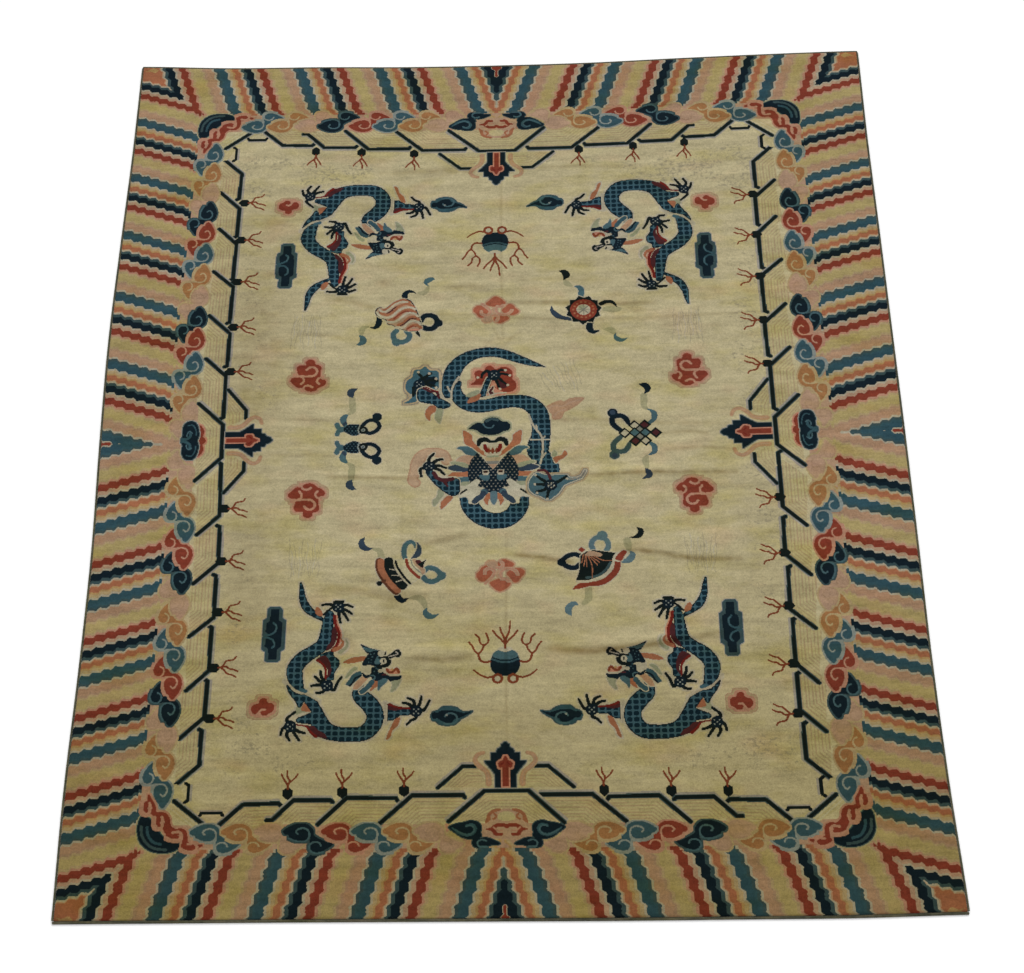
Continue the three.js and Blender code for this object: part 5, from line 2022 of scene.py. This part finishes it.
# age adds wear and stains, and painted light: crease shade, crest highlight and a shaded near end
aged_and_lit = placed(tree, age_and_light,
              {"Color": uneven["Color"], "Place": place, "Worn": read(tree, "worn", "Fac"),
               "Stain And Shade": read(tree, "stain_and_shade", "Fac"), "Crest Highlight": read(tree, "crest_highlight", "Fac")})
tree.links.new(aged_and_lit["Color"], shader.inputs["Base Color"])
tree.links.new(span(tree, aged_and_lit["Dull"], 0.0, 1.0, 0.90, 0.98), shader.inputs["Roughness"])
fibres = noise(tree, stretch(tree, place, 1.6, 1.1), 1.0, 3.0, 0.7)
height = maths(tree, "ADD", knotted["Dome"], maths(tree, "MULTIPLY", fibres, 1.2))
bump(tree, shader, height, 0.0005, 0.6)
for strip in strips:
    strip.data.materials.append(wool)
print(wool.name, "on", len(strips), "strips")

# %% Cotton foundation with the backs of the knots
cotton, tree, shader = fabric("knot backs on cotton", 0.95, 0.1)
place = read(tree, "design")
backs = placed(tree, knots,
               {"Place": place, "Knot Width": HALF_WIDTH / BACK_COLUMNS,
                "Knot Length": HALF_LENGTH / BACK_ROWS, "Left Edge": -HALF_WIDTH,
                "Near Edge": -HALF_LENGTH, **four_yarns(tree)})
small = placed(tree, knots,
               {"Place": place, "Knot Width": KNOT, "Knot Length": KNOT, "Left Edge": -WIDTH / 2,
                "Near Edge": -LENGTH / 2})
uneven = placed(tree, dye,
                {"Color": backs["Color"], "Place": place, "Shade": small["Shade"], "Strength": 0.8})
weft = span(tree, small["Dome"], 0.0, 0.35, 0.55, 0.0)
woven = mix(tree, weft, uneven["Color"], (0.42, 0.39, 0.31, 1))
tree.links.new(woven, shader.inputs["Base Color"])
tree.links.new(span(tree, small["Dome"], 0.0, 1.0, 0.98, 0.90), shader.inputs["Roughness"])
bump(tree, shader, small["Dome"], 0.0006, 0.8)
foundation.data.materials.append(cotton)
print(cotton.name, "on the foundation")


# %% Wound and braided yarn at the edges
def edge_yarn(name, dark, pale, pitch):
    material, tree, shader = fabric(name, 0.9, 0.15)
    place = read(tree, "design")
    split = node(tree, "SeparateXYZ", {0: place}).outputs
    shade = node(tree, "TexWhiteNoise",
                 {"W": maths(tree, "FLOOR", maths(tree, "DIVIDE", split[0], pitch))},
                 noise_dimensions="1D").outputs[0]
    patches = noise(tree, stretch(tree, place, 0.012, 0.05), 1.0, 3.0, 0.6)
    yarn = mix(tree, span(tree, patches, 0.35, 0.65), dark, pale)
    uneven = placed(tree, dye, {"Color": yarn, "Place": place, "Shade": shade, "Strength": 1.2})
    # age adds wear and the painted shade of the near end
    worn_with_painted_light = placed(tree, age_and_light,
                    {"Color": uneven["Color"], "Place": place, "Worn": 0.45, "Stain And Shade": 0.0,
                     "Crest Highlight": 0.0})
    tree.links.new(worn_with_painted_light["Color"], shader.inputs["Base Color"])
    tree.links.new(span(tree, worn_with_painted_light["Dull"], 0.0, 1.0, 0.88, 0.97), shader.inputs["Roughness"])
    twist = [maths(tree, "MULTIPLY", split[0], 5.0), maths(tree, "MULTIPLY", split[1], 1.3)]
    twist = maths(tree, "SINE", maths(tree, "ADD", *twist))
    hairs = noise(tree, stretch(tree, place, 2.5, 1.2), 1.0, 3.0, 0.7)
    bump(tree, shader, maths(tree, "ADD", maths(tree, "MULTIPLY", twist, 0.4), hairs), 0.0004, 0.7)
    return material


cord_wool = edge_yarn("overcast wool", (0.055, 0.060, 0.036, 1), (0.12, 0.115, 0.070, 1),
                      TURN_PITCH)
braid_cotton = edge_yarn("braided cotton", (0.050, 0.054, 0.036, 1), (0.12, 0.11, 0.068, 1),
                         TURN_PITCH)
for border, material in zip(edges, (cord_wool, cord_wool, braid_cotton, braid_cotton)):
    border.data.materials.append(material)
print("edge yarns on", len(edges), "pieces")


# %% [markdown]
# ## Floor and light
# The photograph has a white floor and hardly any shadow. Most of the light is an even white sky.
# One broad lamp beyond the far end comes in low, so the ripples and the clipped pile get a light
# and a dark side, which an even sky alone would not give.

# %% Floor
HALF_FLOOR, FLOOR_HEIGHT = 40, -0.0004
floor_mesh = bpy.data.meshes.new("floor")
square = (-1, -1), (1, -1), (1, 1), (-1, 1)
corners = [(HALF_FLOOR * x, HALF_FLOOR * y, FLOOR_HEIGHT) for x, y in square]
floor_mesh.from_pydata(corners, [], [(0, 1, 2, 3)])
floor = bpy.data.objects.new("floor", floor_mesh)
scene.collection.objects.link(floor)
floor_paint = bpy.data.materials.new("pale floor")
floor_paint.use_nodes = True
shader = floor_paint.node_tree.nodes["Principled BSDF"]
shader.inputs["Base Color"].default_value = (0.97, 0.97, 0.97, 1)
shader.inputs["Roughness"].default_value = 0.9
shader.inputs["Emission Color"].default_value = (1, 1, 1, 1)
shader.inputs["Emission Strength"].default_value = 0.14
floor_mesh.materials.append(floor_paint)
print("floor", 2 * HALF_FLOOR, "m square, far past the edges of the photograph")

# %% Light
SKY_STRENGTH, SUN_STRENGTH = 0.62, 1.65
world = bpy.data.worlds.new("even sky")
world.use_nodes = True
world.node_tree.nodes["Background"].inputs["Color"].default_value = (1, 1, 1, 1)
world.node_tree.nodes["Background"].inputs["Strength"].default_value = SKY_STRENGTH
scene.world = world
lamp = bpy.data.objects.new("broad lamp", bpy.data.lights.new("broad lamp", "SUN"))
lamp.data.energy = SUN_STRENGTH
lamp.data.angle = math.radians(35)
lamp.rotation_euler = Vector((0.15, 0.75, 0.62)).to_track_quat("Z", "Y").to_euler()
scene.collection.objects.link(lamp)
scene.view_settings.view_transform = "Standard"
print("sky", SKY_STRENGTH, "and lamp", SUN_STRENGTH)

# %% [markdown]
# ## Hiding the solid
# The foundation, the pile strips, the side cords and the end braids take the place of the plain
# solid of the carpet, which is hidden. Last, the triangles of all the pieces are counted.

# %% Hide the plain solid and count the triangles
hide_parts("knotted_carpet")
for strip in strips:
    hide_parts("knotted_carpet")
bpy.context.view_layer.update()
every = [*strips, foundation, *edges]
total = sum(len(made.data.loop_triangles) or 2 * len(made.data.polygons) for made in every)
print("about", total, "triangles in all")
